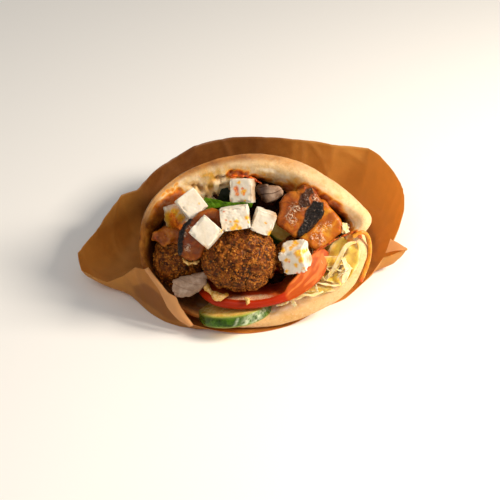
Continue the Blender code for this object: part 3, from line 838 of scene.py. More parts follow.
def scatterTree():
    # crumbs spread over a surface, each with its own turn, size and tint
    tree = bpy.data.node_groups.new("scatterCrumbs", "GeometryNodeTree")
    sockets = (
        ("Surface", "Geometry"), ("Shapes", "Collection"), ("Per square metre", "Float"), ("Smallest", "Float"),
        ("Largest", "Float"), ("Seed", "Int"), ("Where", "String"), ("Material", "Material"),
    )
    for name, kind in sockets:
        tree.interface.new_socket(name, in_out="INPUT", socket_type="NodeSocket" + kind)
    tree.interface.new_socket("Crumbs", in_out="OUTPUT", socket_type="NodeSocketGeometry")
    given = addNode(tree, "NodeGroupInput").outputs
    where = addNode(tree, "GeometryNodeInputNamedAttribute", {"data_type": "FLOAT"}, {"Name": given["Where"]})
    dense = maths(tree, "MULTIPLY", given["Per square metre"], where.outputs[0])
    spread = addNode(tree, "GeometryNodeDistributePointsOnFaces", None, {
        "Mesh": given["Surface"], "Density": dense, "Seed": given["Seed"],
    })
    shapes = addNode(tree, "GeometryNodeCollectionInfo", None, {
        "Collection": given["Shapes"], "Separate Children": True, "Reset Children": True,
    })
    turn = addNode(tree, "FunctionNodeRandomValue", {"data_type": "FLOAT_VECTOR"}, {
        1: (math.tau, math.tau, math.tau), 8: given["Seed"],
    })
    size = addNode(tree, "FunctionNodeRandomValue", {"data_type": "FLOAT"}, {
        2: given["Smallest"], 3: given["Largest"], 8: given["Seed"],
    })
    placed = addNode(tree, "GeometryNodeInstanceOnPoints", None, {
        "Points": spread.outputs["Points"], "Instance": shapes.outputs[0], "Pick Instance": True,
        "Rotation": turn.outputs[0], "Scale": size.outputs[1],
    })
    tint = addNode(tree, "FunctionNodeRandomValue", {"data_type": "FLOAT"}, {8: given["Seed"]})
    tinted = addNode(tree, "GeometryNodeStoreNamedAttribute", {"data_type": "FLOAT", "domain": "INSTANCE"}, {
        "Geometry": placed.outputs[0], "Name": "tint", "Value": tint.outputs[1],
    })
    solid = addNode(tree, "GeometryNodeRealizeInstances", None, {0: tinted.outputs[0]})
    coated = addNode(tree, "GeometryNodeSetMaterial", None, {0: solid.outputs[0], "Material": given["Material"]})
    addNode(tree, "NodeGroupOutput", None, {0: coated.outputs[0]})
    return tree


crumbTree = scatterTree()


def grown(mesh, tree, inputs):
    # the tree's result on this mesh, as a plain mesh
    obj = bpy.data.objects.new("working", mesh)
    bpy.context.scene.collection.objects.link(obj)
    modifier = obj.modifiers.new("grow", "NODES")
    modifier.node_group = tree
    for item in tree.interface.items_tree:
        if item.in_out == "INPUT" and item.name in inputs:
            modifier[item.identifier] = inputs[item.name]
    obj.update_tag()
    bpy.context.view_layer.update()
    graph = bpy.context.evaluated_depsgraph_get()
    made = bpy.data.meshes.new_from_object(obj.evaluated_get(graph), depsgraph=graph)
    bpy.data.objects.remove(obj)
    return made


def scatter(name, surfaces, material, perCm2, smallest, largest, seed, where="all"):
    shapes = crumbShapes(seed)
    parts = []
    for number, surface in enumerate(surfaces):
        if where == "all" and "all" not in surface.attributes:
            mark(surface, "all", np.ones(len(surface.vertices)))
        parts.append(grown(surface, crumbTree, {
            "Shapes": shapes, "Per square metre": perCm2 * 1e4, "Smallest": smallest * mm,
            "Largest": largest * mm, "Seed": seed + number, "Where": where, "Material": material,
        }))
    mesh = joined(parts)
    for part in list(shapes.objects):
        bpy.data.objects.remove(part)
    return show(name, mesh, material, ())


falafel = makeFalafel()
scatter(
    "falafelCrumbs", [obj.data for obj in falafel], falafelMaterial("looseCrust", True),
    falafelSizes["crumbsPerCm2"], falafelSizes["smallestCrumb"], falafelSizes["largestCrumb"], 3,
)


# ---- feta ----
fetaDice = {
    # node: how crumbly, then yellow oil spots and red sauce spots, x, y and radius in mm
    "feta_upper_left": (0.35, ((-28.6, 19.1, 0.6), (-34.5, 9.5, 0.8)), ((-36.2, 11.7, 0.6), (-40.5, 17, 1.0))),
    "feta_left": (0.3, ((-17.1, 4.9, 0.8),), ()),
    "feta_top": (
        0.35, ((-8.8, 30.3, 1.2), (-5.5, 21.0, 0.6), (-6.2, 25.5, 1.7)),
        ((-9.9, 26.9, 1.7), (-9.7, 24.6, 1.4), (-7.0, 27.4, 0.8), (-6.0, 24.4, 0.9), (-11.1, 32.9, 1.3),
         (-7.5, 33.1, 1.0), (-3.9, 33.0, 0.9)),
    ),
    "feta_middle": (
        1.0, ((-10.2, 7.4, 1.9), (-9.6, 9.8, 1.3), (-11.4, 5.9, 2.0), (-8.2, 6.2, 1.5), (-4.7, 11.5, 1.3),
              (-3.5, 9.2, 0.7), (-12.4, 10.0, 0.8)),
        ((-15.6, 14.2, 0.6), (-14.8, 10.1, 0.6)),
    ),
    "feta_middle_right": (0.35, ((4.7, 8.6, 0.8), (7.6, 3.6, 1.9)), ((9.4, 16.4, 1.0), (7, 18.2, 0.9))),
    "feta_right": (
        0.95, ((20.3, -1.0, 1.7), (17.9, -3.5, 1.2), (19.0, -2.3, 1.1), (13.1, -4.5, 2.0), (21.4, -6.6, 2.5),
              (22.8, -9.4, 1.8), (24.5, -5.4, 1.4), (15.6, -10.1, 1.4), (20.5, -12.4, 1.3), (24.3, -13.8, 1.0), (15.8, -15.2, 1.1),
              (25.7, -4.5, 0.9)),
        ((20.8, -16.5, 0.9), (23.3, -16.4, 0.9), (16.9, -10.8, 0.5)),
    ),
    "feta_stained": (0.8, ((-44.8, 12.2, 4.4), (-43.6, 8.4, 4.6), (-41.8, 15, 3.2), (-39, 12, 2.6), (-37, 6, 3)),
                     ((-42.4, 9.4, 4.0), (-39, 6.8, 3.4), (-43.4, 13.2, 2.2), (-36.6, 9, 1.8))),
}


# painted shade on the cheese, a tan tone on its shaded sides: x, y and radius in mm
tanShadeSpots = (
    (11.5, 13, 4.5), (9.5, 17.5, 3.0), (8, 4, 2.5), (0.7, 31.5, 4.2), (0.7, 27.5, 4.2), (0.5, 23.5, 3.8), (6.5, 17.8, 3.4), (-7, 19.8, 2.2), (-13.5, 21, 2.0),
    (-24, 27, 2.0), (-44, 13, 4), (-41, 8, 5), (-37, 5, 3), (28, -9, 3), (-2.5, 12, 2.2), (-17, 1, 2.2), (-25.5, -4, 2.4),
)
# small moves across the mouth in mm, and a share of the size
dieNudges = {
    "feta_left": (0.4, -0.1, 0.94), "feta_middle_right": (-1.0, -1.0, 0.9), "feta_top": (1.0, -0.2, 0.97),
    "feta_middle": (0.2, -1.0, 0.95), "feta_stained": (-0.7, 0.0, 1.12), "feta_upper_left": (0.2, 0, 0.98),
}


def makeFeta():
    material = fetaMaterial()
    steps = int(36 * fine)
    for seed, (node, (crumbly, oil, sauce)) in enumerate(fetaDice.items()):
        axes, middle, half = dieFrame(node)
        bm = bmesh.new()
        bmesh.ops.create_cube(bm, size=2)
        bmesh.ops.subdivide_edges(bm, edges=bm.edges, cuts=steps, use_grid_fill=True)
        mesh = bpy.data.meshes.new("die")
        bm.to_mesh(mesh)
        bm.free()
        local = coordinates(mesh)
        # pull the corners in a little, as a knife and handling leave them
        inner = np.clip(local, -0.93, 0.93)
        round_ = local - inner
        local = inner + round_ / np.maximum(1, np.linalg.norm(round_, axis=1) / 0.07)[:, None]
        edge = np.sort(np.abs(local), axis=1)[:, 1]
        spots = local * half
        setCoordinates(mesh, fromMouth((spots @ axes.T) + middle))
        faceOut(mesh)
        near, second, tag = grains(spots + 0.6 * softNoise(spots, 2, 74)[:, None], 1.7, 70 + seed)
        pits = (1 - ramp(near, 0.15, 0.5)) * (tag > 0.97 - 0.12 * crumbly)
        corner = ramp(np.sort(np.abs(local), axis=1)[:, 0], 0.72, 1.0)
        break_ = ramp(softNoise(spots, 3.4, 72 + seed, 2), 0.0, 0.5) * ramp(edge, 0.66, 0.98)
        height = (0.12 + 0.22 * crumbly) * softNoise(spots, 4.5, 71 + seed, 3)
        height = height - (0.15 + 1.7 * crumbly) * break_ - 0.15 * pits - 1.7 * crumbly * corner
        height = height + (0.05 + 0.16 * crumbly**2) * softNoise(spots, 1.3, 73 + seed, 2)
        push(mesh, height * mm)
        spotted(mesh, "oil", oil)
        spotted(mesh, "sauce", sauce, 0.7)
        spotted(mesh, "damp", tanShadeSpots, 1.2, 0.9)
        words = node.split("_")[1:]
        show("feta" + "".join(word.title() for word in words), mesh, material, [node])


def dieFrame(node):
    # a cube's three directions, middle and half sizes, in the mouth's frame in mm
    data = frame["nodes"][node].data
    points = toMouth(coordinates(data))
    ways = toMouth([polygon.normal for polygon in data.polygons]) - toMouth([(0, 0, 0)])
    ways = ways / np.linalg.norm(ways, axis=1)[:, None]
    areas = np.array([polygon.area for polygon in data.polygons])
    axes = []
    for _ in range(3):
        free = [w for w in ways if all(abs(w @ other) < 0.3 for other in axes)]
        best = max(free, key=lambda way: areas[np.abs(ways @ way) > 0.98].sum())
        for other in axes:
            best = best - other * (best @ other)
        axes.append(best / np.linalg.norm(best))
    axes = np.array(axes).T
    local = points @ axes
    low, high = local.min(0), local.max(0)
    x, y, share = dieNudges.get(node, (0, 0, 1))
    return axes, axes @ ((low + high) / 2) + (x, y, 0), (high - low) / 2 * share


def fetaMaterial():
    # brined sheep's cheese, cut: chalky white, moist, with light let a little way in
    material, tree, shader, place = newMaterial("brinedFeta", {
        "IOR": 1.42, "Subsurface Weight": 0.3, "Subsurface Scale": 1.6 * mm,
        "Subsurface Radius": (1.0, 0.8, 0.55), "Specular IOR Level": 0.4,
    })
    tone = stops(tree, pattern(tree, place, 4.5, 3), (0.35, "#DDD1BC"), (0.6, "#E8DFCE"))
    tone = blend(tree, stops(tree, pattern(tree, place, 0.8, 2), (0.6, 0.0), (0.8, 0.25)), tone, "#E4D2AE")
    # painted shade: tan where the cubes' sides are in shade
    tone = blend(tree, maths(tree, "MULTIPLY", attribute(tree, "damp"), 0.85), tone, "#B8864C")
    oilTone = stops(tree, pattern(tree, place, 1.2, 2), (0.35, "#E89A06"), (0.6, "#F8C01C"))
    tone = blend(tree, maths(tree, "MULTIPLY", attribute(tree, "oil"), 0.95), tone, oilTone)
    sauceTone = stops(tree, pattern(tree, place, 1.2, 2), (0.35, "#CC4C0A"), (0.6, "#F68A18"))
    tone = blend(tree, maths(tree, "MULTIPLY", attribute(tree, "sauce"), 0.9), tone, sauceTone)
    wire(tree, shader, Base_Color=tone)
    wire(tree, shader, Roughness=stops(tree, pattern(tree, place, 1.5, 2), (0.4, 0.4), (0.6, 0.62)))
    relief(tree, shader, pattern(tree, place, 0.35, 3, 0.6), 0.05)
    return material


makeFeta()
print("falafel and feta done")


# ---- roasted aubergine ----
aubergines = {
    # node: outline, back, front, lean, and how much its flesh takes the lit tones, as painted light and shade
    "aubergine_top": (
        ((10.5, 11), (12.4, 16), (12.2, 20), (14, 23.2), (17.5, 25), (21, 24.6), (24.5, 28.4), (28.5, 28.4),
         (31, 25), (33, 22), (34.6, 20), (34.2, 14.5), (31.5, 9.5), (27, 5), (22, 2.5), (19.5, 2), (15, 5.5),
         (11, 8.5)), -1, 9.2, (-0.10, 0.05), 0.28,
    ),
    "aubergine_right": (
        ((22, 2), (30, 7), (32.5, 13), (33.5, 21), (35.6, 21), (39, 16.3), (43.3, 11.5), (44.9, 8.5), (44.6, 4.5),
         (42, 2.6), (39, 0), (35.5, -2.8), (31, -5.5), (27, -1.5)), -7, 2.2, (-0.06, -0.05), 1.0,
    ),
    "aubergine_long": (
        ((-22, 17), (-29, 14.5), (-33.5, 9.8), (-38, 4.5), (-39.3, -2), (-38.5, -6.5), (-36, -9.3), (-31, -9.8),
         (-27.5, -8), (-25.5, -4), (-21, 2), (-17.5, 9), (-17, 14.5)), 7.3, 16.6, (0.12, 0.02), 0.12,
    ),
    "aubergine_left": (
        ((-54, 0.5), (-53, 4.5), (-50, 5.6), (-47.6, 8), (-44.4, 6.4), (-41, 7), (-38, 5), (-36, 0.5), (-38.5, -2.6),
         (-43, -1.2), (-46.6, -3), (-51, -1.2)), -5, 4.6, (0.12, 0.0), 0.35,
    ),
}
# charred skin: an outline, x and y in mm, and how thick the char is
charredSkin = (
    (((20.3, 2.6), (24.4, 9.6), (26.3, 16.1), (29.6, 20.3), (34.4, 19.6), (34, 13.8), (32.2, 9.2), (30.5, 5.5), (25.5, 2.4)), 1.0),
    (((21.9, 19.2), (22.7, 23), (25.4, 26.8), (28.7, 27.8), (29.6, 24.8), (27.4, 21.9), (28.2, 18.2), (25.3, 17.1),
      (22.7, 17.6)), 0.86),
    (((-40.4, -7.5), (-40.4, 0), (-38.5, 6), (-33.5, 11.8), (-31.4, 10.6), (-35, 5.5), (-36.8, 0.5), (-37.4, -7)), 1.0),
)
# where oil stands on the flesh, glossier and bumpier, with painted whitish highlights: x, y, radius
wetSpots = (
    (20.5, 17, 3.6), (17.5, 13, 3.0), (19.5, 10, 2.6), (24, 17.5, 2.5), (30.5, 2.0, 3.0), (33.5, 6.5, 3.2), (37.5, 8.2, 2.8),
    (34, 0.5, 3.0), (-36, 3.5, 2.0), (-34.8, -3.5, 2.8), (-33.5, 6.5, 1.6), (30.2, 22, 2.0), (27.5, 26, 1.4),
)


def makeAubergine():
    material = aubergineMaterial()
    for seed, (node, (outline, back, front, lean, bright)) in enumerate(aubergines.items()):
        mesh = chunk(outline, back, front, lean, 1.6, 0.3, 6)
        flat = toMouth(coordinates(mesh))
        warped = flat + 0.8 * np.stack([softNoise(flat, 2.5, salt, 2) for salt in (81, 82, 83)], axis=-1)
        skin = np.zeros(len(flat))
        for edge, thick in charredSkin:
            skin = np.maximum(skin, thick * ramp(within(warped, edge), -0.35, 0.35))
        facing = ramp(flat[:, 2], back, between(back, front, 0.6))
        skin = skin * facing * (node != "aubergine_right")
        wet = np.zeros(len(flat))
        for x, y, radius in wetSpots:
            wet = np.maximum(wet, 1 - ramp(np.hypot(warped[:, 0] - x, warped[:, 1] - y) / radius, 0.4, 1.1))
        ridges = 1 - np.abs(softNoise(flat, 4.5, 85 + seed, 1)) * 2.2
        height = 0.8 * softNoise(flat, 7, 84 + seed, 1) + 0.35 * ridges
        height = height + (1.1 * softNoise(flat, 3.2, 89, 2) if node == "aubergine_left" else 0)
        height = height + (0.08 + 0.5 * wet) * softNoise(flat * (1, 1.5, 1), 1.5, 88 + seed, 2)
        height = height + skin * (0.45 + 0.35 * softNoise(flat, 0.9, 86 + seed, 2))
        push(mesh, height * mm)
        mark(mesh, "skin", skin)
        mark(mesh, "wet", wet * (1 - 0.5 * skin))
        mark(mesh, "bright", np.clip(bright + 0.3 * softNoise(flat, 7, 87 + seed, 2), 0, 1))
        show("aubergine" + node.split("_")[1].title(), mesh, material, [node])


def aubergineMaterial():
    # aubergine roasted in oil: soft flesh gone brown and glassy, black blistered skin
    material, tree, shader, place = newMaterial("roastedAubergine", {
        "IOR": 1.45, "Specular IOR Level": 0.25, "Coat Weight": 0.08, "Coat Roughness": 0.1,
    })
    field = pattern(tree, place, 6, 3, 0.55, 0.8)
    dark = stops(tree, field, (0.3, "#481A01"), (0.5, "#742F02"), (0.7, "#9A4806"))
    lit = stops(tree, field, (0.3, "#9A4A08"), (0.5, "#B8640C"), (0.7, "#D08E24"))
    # painted light and shade: each piece takes lit or shaded flesh tones by its own share, with some random change
    tone = blend(tree, attribute(tree, "bright"), dark, lit)
    fleck = stops(tree, pattern(tree, place, 2.2, 3), (0.58, 0.0), (0.7, 0.6))
    tone = blend(tree, fleck, tone, "#A83E08")
    # painted highlight: whitish speckles in the wet spots
    glintSpeckle = stops(tree, pattern(tree, place, 0.9, 4, 0.7, 0.5), (0.5, 0.0), (0.62, 0.75))
    tone = blend(tree, maths(tree, "MULTIPLY", glintSpeckle, attribute(tree, "wet")), tone, "#F0D8B8")
    skinTone = stops(tree, pattern(tree, place, 1.0, 4, 0.7), (0.42, "#0A0503"), (0.58, "#1C100A"), (0.68, "#6A5648"))
    tone = blend(tree, attribute(tree, "skin"), tone, skinTone)
    wire(tree, shader, Base_Color=tone)
    rough = stops(tree, pattern(tree, place, 2.2, 2), (0.4, 0.34), (0.65, 0.6))
    wire(tree, shader, Roughness=blend(tree, attribute(tree, "wet"), rough, (0.14, 0.14, 0.14, 1)))
    relief(tree, shader, pattern(tree, place, 1.1, 3, 0.6), 0.14)
    return material


makeAubergine()


# ---- sauced mash behind the filling ----
def makeMash():
    # the rest of the filling as one lumpy mass, pressed down into the pocket
    around, rings = int(160 * fine), int(44 * fine)
    turn = np.linspace(0, math.tau, around, endpoint=False)
    share = np.linspace(0.01, 1, rings) ** 0.8
    rows = []
    for level, shares in ((-13, share), (-30, share[::-1])):
        for r in shares:
            rows.append(np.column_stack([50 * r * np.cos(turn) - 1, 34 * r * np.sin(turn) - 1, np.full(around, level)]))
    points = np.concatenate(rows)
    lumps = 3.2 * softNoise(points, 13, 130, 2) + 1.3 * softNoise(points, 4.5, 132, 3)
    points[:, 2] += np.where(points[:, 2] > -20, lumps + 2.5 * hump(points[:, 0], -46, 14), 0)
    points = np.concatenate([points, [[-1, -1, -13], [-1, -1, -30]]])
    mesh = meshOf("mash", np.maximum(fromMouth(points), (-1, -1, 10 * mm)), ringFaces(2 * rings, around, len(points) - 2, len(points) - 1))
    # aubergine and tomato cooked down in oil, wet and uneven; its near-black tone is painted shade for the voids
    # between the pieces
    material, tree, shader, place = newMaterial("cookedMash", {"IOR": 1.45, "Specular IOR Level": 0.08})
    tone = stops(tree, pattern(tree, place, 5, 4, 0.6), (0.32, "#0C0301"), (0.5, "#1E0A02"), (0.68, "#421A05"))
    fleck = stops(tree, pattern(tree, place, 1.3, 3), (0.6, 0.0), (0.7, 0.7))
    tone = blend(tree, fleck, tone, "#6E3410")
    wire(tree, shader, Base_Color=tone)
    wire(tree, shader, Roughness=stops(tree, pattern(tree, place, 2.2, 2), (0.4, 0.4), (0.65, 0.6)))
    relief(tree, shader, pattern(tree, place, 1.0, 4, 0.6), 0.3)
    show("cookedMash", mesh, material, ())


makeMash()


# ---- onion and herb ----
onionWedges = {
    # outline, back, front, lean, then the layers: a point they bow round and their spacing
    "onion_top": (((-0.5, 27.5), (2, 29.6), (7, 29.2), (12, 28.8), (14.6, 26.4), (14.2, 24.2), (10.5, 21.6), (6, 20),
                   (3.5, 22), (1.5, 25)), -9, -3.2, (0.1, 0.2), (2, 45, 4.2)),
    "onion_front": (((-42.4, -20.2), (-38, -18.6), (-32, -17.4), (-26.5, -15.8), (-24.5, -18), (-25.5, -22), (-29, -25.6),
                     (-34, -28.4), (-38, -29), (-41.4, -28.2), (-42.8, -24.5)), 2.2, 8.6, (0.05, 0.12), (-25, 6, 3.6)),
}


def makeOnion():
    material = onionMaterial()
    for seed, (node, (outline, back, front, lean, bow)) in enumerate(onionWedges.items()):
        mesh = chunk(outline, back, front, lean, 1.4, 0.26, 6)
        flat = toMouth(coordinates(mesh))
        layer = np.hypot(flat[:, 0] - bow[0], flat[:, 1] - bow[1]) / bow[2] + 0.2 * softNoise(flat, 6, 90, 2)
        line = np.abs(layer - np.round(layer))
        groove = 1 - ramp(line, 0.0, 0.07)
        step = 0.5 * (layer - np.floor(layer))
        push(mesh, (0.3 * softNoise(flat, 4, 91, 2) - 0.22 * groove + step) * mm)
        mark(mesh, "groove", groove)
        mark(mesh, "shade", ramp(-flat[:, 0], -9, -4) if seed == 0 else 0 * flat[:, 0] + 0.08)
        show("onion" + node.split("_")[1].title(), mesh, material, [node])


def onionMaterial():
    # onion softened on the grill: thin wet layers, grey-lilac where the outer ones overlap
    material, tree, shader, place = newMaterial("softenedOnion", {
        "Roughness": 0.34, "IOR": 1.4, "Subsurface Weight": 0.35, "Subsurface Scale": 2.0 * mm,
        "Subsurface Radius": (1.0, 0.8, 0.7), "Specular IOR Level": 0.5,
    })
    tone = stops(tree, pattern(tree, place, 3.5, 3), (0.3, "#8C6C54"), (0.5, "#AC8C72"), (0.7, "#C9AE96"))
    veins = stops(tree, pattern(tree, place, 0.7, 2), (0.45, 0.0), (0.75, 0.35))
    tone = blend(tree, veins, tone, "#8A7268")
    tone = blend(tree, maths(tree, "MULTIPLY", attribute(tree, "groove"), 0.6), tone, "#6C4C38")
    tone = blend(tree, attribute(tree, "shade"), tone, "#3A2010")
    wire(tree, shader, Base_Color=tone)
    relief(tree, shader, pattern(tree, place, 0.6, 3), 0.06)
    return material


herbLeaves = (
    # outline, back, front
    (((-27.3, 19.5), (-26.6, 22.6), (-24, 22.2), (-20, 21.4), (-16, 20.2), (-12, 19.9), (-7, 20.2), (-1.5, 19.4),
      (-2, 17.2), (-8, 16.4), (-14, 16.6), (-18, 17.2), (-21, 16.8), (-23.6, 15.2), (-26, 16.6)), 4.2, 5.2),
    (((-20.5, 19), (-19.8, 23.5), (-18, 27.3), (-14.8, 28.3), (-13.2, 26), (-13.4, 20.5), (-16, 18)), -6.4, -5.4),
)


def makeHerb():
    # flat-leaf parsley: thin, waxy, darker between its veins
    material, tree, shader, place = newMaterial("parsleyLeaf", {
        "Roughness": 0.5, "IOR": 1.42, "Subsurface Weight": 0.1, "Subsurface Scale": 0.6 * mm,
        "Specular IOR Level": 0.15,
    })
    tone = stops(tree, pattern(tree, place, 3, 3), (0.35, "#2C4A02"), (0.6, "#507806"))
    tone = blend(tree, maths(tree, "MULTIPLY", attribute(tree, "veins"), 0.35), tone, "#7A9A22")
    tone = blend(tree, attribute(tree, "shaded"), tone, "#0E1402")
    wire(tree, shader, Base_Color=tone)
    relief(tree, shader, pattern(tree, place, 0.6, 3), 0.08)
    parts = []
    for outline, back, front in herbLeaves:
        mesh = chunk(outline, back, front, (0.06, 0.1), 0.3, 0.22, 3)
        flat = toMouth(coordinates(mesh))
        across = flat[:, 1] - 18.8 - 0.03 * flat[:, 0]
        veins = 1 - ramp(np.abs(((flat[:, 0] + 14 + 0.9 * np.abs(across)) / 2.6) % 1 - 0.5), 0.0, 0.16)
        wave = 0.9 * softNoise(flat * (1, 1, 0), 5, 95, 2)
        setCoordinates(mesh, fromMouth(flat + wave[:, None] * (0, 0, 1)))
        push(mesh, (0.1 * softNoise(flat, 1.2, 96) - 0.1 * veins) * mm)
        mark(mesh, "veins", veins)
        mark(mesh, "shaded", np.full(len(flat), 1.0 if back < 0 else 0.0))
        parts.append(mesh)
    show("herbLeaf", joined(parts), material, ["herb_leaf"])


makeOnion()
makeHerb()


# ---- tomato and cucumber ----
def sliceMesh(name, width, thickness, lift, place, turn, salt, sides=180, ringsIn=24):
    # a round slice in mm with its rim's bulge, bent up on its right side
    radius, half = width / 2, thickness / 2
    inward = np.linspace(0.03, 0.955, ringsIn)
    bulge = np.linspace(-1, 1, 17)
    share = np.concatenate([inward, 1 - 0.035 * np.abs(bulge) ** 2.5, inward[::-1]])
    level = np.concatenate([0 * inward - half, bulge * half * 0.97, 0 * inward + half])
    rim = np.concatenate([0 * inward, 1 - np.abs(bulge) ** 6, 0 * inward])
    turnAround = np.linspace(0, math.tau, sides, endpoint=False)
    uneven = 1 + 0.012 * np.sin(3 * turnAround + salt) + 0.008 * np.sin(5 * turnAround + 2 * salt)
    x = radius * share[:, None] * (uneven * np.cos(turnAround))[None, :]
    y = radius * share[:, None] * (uneven * np.sin(turnAround))[None, :]
    z = level[:, None] + 0 * x
    flat = np.stack([x, y, z], axis=-1).reshape(-1, 3)
    flat = np.concatenate([flat, [[0, 0, -half], [0, 0, half]]])
    right = np.maximum(0, flat[:, 0] / radius)
    steep = np.arctan(2 * lift * right / radius)
    bent = flat.copy()
    bent[:, 0] = flat[:, 0] - flat[:, 2] * np.sin(steep)
    bent[:, 2] = flat[:, 2] * np.cos(steep) + lift * right**2
    points = np.maximum(fromMouth(bent @ turned(turn).T + place), (-1, -1, 0.9 * mm))
    rows = len(share)
    mesh = meshOf(name, points, ringFaces(rows, sides, rows * sides, rows * sides + 1))
    mark(mesh, "rim", np.append(np.repeat(rim, sides), (0, 0)))
    mark(mesh, "outward", np.append(np.repeat(share, sides), (0, 0)))
    return mesh, flat, np.append(np.repeat(rim, sides), (0, 0))


# the slice's skin, from its left end to its right: lower edge x, y, upper edge x, y and how far out, in mm
tomatoSkin = (
    (-31.5, -24, -29, -20, -6), (-30, -27.5, -27.5, -22.5, -1), (-26, -31.2, -24.5, -26, 4.5), (-20, -34, -19, -28.8, 9),
    (-10, -35.3, -10, -30.4, 12), (0, -34.8, 0, -30.4, 13), (9, -33.2, 8, -29, 12.8), (16, -31.2, 14.5, -26.6, 12),
    (20, -29.7, 17.3, -22.4, 11), (27, -25.7, 22.8, -16.4, 9), (33, -20.8, 27, -10.6, 6.5), (37, -15.4, 30, -6.4, 4),
    (38.8, -9.5, 33, -3.8, 2), (39, -6.5, 35.6, -3.4, 0.5),
)
tomatoCore = (3, -19, -24)  # the slice's middle, deep in the pocket


def makeTomato():
    table = smoothPath([row[:3] for row in tomatoSkin], 260), smoothPath([row[2:] for row in tomatoSkin], 260)
    lower = np.column_stack([table[0][:, 0], table[0][:, 1], table[1][:, 2]])
    upper = np.column_stack([table[1][:, 0], table[1][:, 1], table[1][:, 2]])
    core = np.array(tomatoCore, float)
    down = np.array((0, -0.88, -0.3)) * 4.4
    rows, rims, outs = [], [], []
    falls = between(1, 0.28, ramp(upper[:, 0], 9, 19))
    for share in np.linspace(0.03, 0.97, 34):  # the cut face, from the middle out
        row = core + (upper - core) * share
        row[:, 2] = upper[:, 2] + (core[2] - upper[:, 2]) * (1 - share) ** falls
        rows.append(row)
        rims.append(0.0), outs.append(share)
    for share in np.linspace(0, 1, 15):  # the skin, from the upper edge to the lower, with its bulge
        bulge = (1 - abs(2 * share - 1) ** 3.2) * between(1.5, 0.5, ramp(upper[:, :1], 8, 18))
        outward = np.column_stack([upper[:, 0] - core[0], upper[:, 1] - core[1], upper[:, 2] - core[2]])
        outward /= np.linalg.norm(outward, axis=1)[:, None]
        rows.append(upper + (lower - upper) * share + outward * (bulge - 1.0) + (0, 0, -1.2 * share))
        rims.append(1.0 if 0 < share < 1 else 0.6), outs.append(1.0)
    for share in np.linspace(0.97, 0.03, 20):  # the underside
        rows.append(core + down + (lower - core - down) * share)
        rims.append(0.0), outs.append(share)
    count = len(upper)
    points = np.concatenate(rows + [[core, core + down]])
    faces = ringFaces(len(rows), count, len(points) - 2, len(points) - 1)
    mesh = meshOf("tomato", fromMouth(points), faces)
    row, column = np.divmod(np.arange(len(points)), count)
    fibre = softNoise(np.stack([column * 0.05 + row * 0.04, row * 0.55, 0 * row], axis=-1), 1.0, 108, 3)
    mark(mesh, "fibre", 0.5 + fibre)
    rim = np.append(np.repeat(rims, count), (0, 0))
    outward = np.append(np.repeat(outs, count), (0, 0))
    mark(mesh, "rim", rim)
    pulp = (1 - ramp(outward, 0.72, 0.84)) * (1 - rim)
    height = 0.2 * softNoise(points, 6, 100, 2) + 0.12 * (1 - rim) * softNoise(points, 1.6, 101, 2) - 0.4 * pulp
    push(mesh, height * mm)
    mark(mesh, "pulp", pulp)
    seen = toMouth(coordinates(mesh))
    mark(mesh, "lit", ramp(seen[:, 0] + 0.3 * seen[:, 1] + 0.8 * softNoise(seen, 3, 103, 2), 6, 9))
    smear = sum(hump(seen[:, 0], x, 5) * hump(seen[:, 1], y, 1.2) for x, y in ((-10, -29.4), (-3, -29.4), (4, -28.6)))
    mark(mesh, "smear", ramp(smear + 0.45 * softNoise(seen, 1.4, 104, 2), 0.25, 0.85) * (1 - rim))
    # ripe tomato: taut waxy skin round wet grainy flesh
    material, tree, shader, place = newMaterial("ripeTomato", {
        "IOR": 1.42, "Subsurface Weight": 0.3, "Subsurface Scale": 2.0 * mm,
        "Subsurface Radius": (1.0, 0.25, 0.1), "Specular IOR Level": 0.22,
    })
    flesh = stops(tree, pattern(tree, place, 2.5, 3), (0.35, "#B83C10"), (0.6, "#CE5E26"))
    flesh = blend(tree, maths(tree, "MULTIPLY", attribute(tree, "pulp"), 0.8), flesh, "#A83010")
    cream = stops(tree, pattern(tree, place, 0.9, 3), (0.4, "#D88A5E"), (0.6, "#F0C8A0"))
    flesh = blend(tree, attribute(tree, "smear"), flesh, cream)
    skin = blend(tree, attribute(tree, "lit"), "#A82804", "#BE5410")
    blush = stops(tree, pattern(tree, place, 6, 3), (0.35, 0.0), (0.65, 0.35))
    skin = blend(tree, maths(tree, "MULTIPLY", blush, attribute(tree, "lit")), skin, "#CE6420")
    streak = stops(tree, attribute(tree, "fibre"), (0.3, "#A6400A"), (0.5, "#BE5812"), (0.7, "#D8803A"))
    skin = blend(tree, maths(tree, "MULTIPLY", attribute(tree, "lit"), 0.55), skin, streak)
    flesh = blend(tree, maths(tree, "MULTIPLY", attribute(tree, "lit"), 0.8), flesh, "#C05414")
    tone = blend(tree, attribute(tree, "rim"), flesh, skin)
    wire(tree, shader, Base_Color=tone)
    wire(tree, shader, Roughness=maths(tree, "ADD", 0.34, maths(tree, "MULTIPLY", attribute(tree, "lit"), 0.2)))
    relief(tree, shader, pattern(tree, place, 0.8, 3), 0.05)
    show("tomatoSlice", mesh, material, ["tomato_slice"])


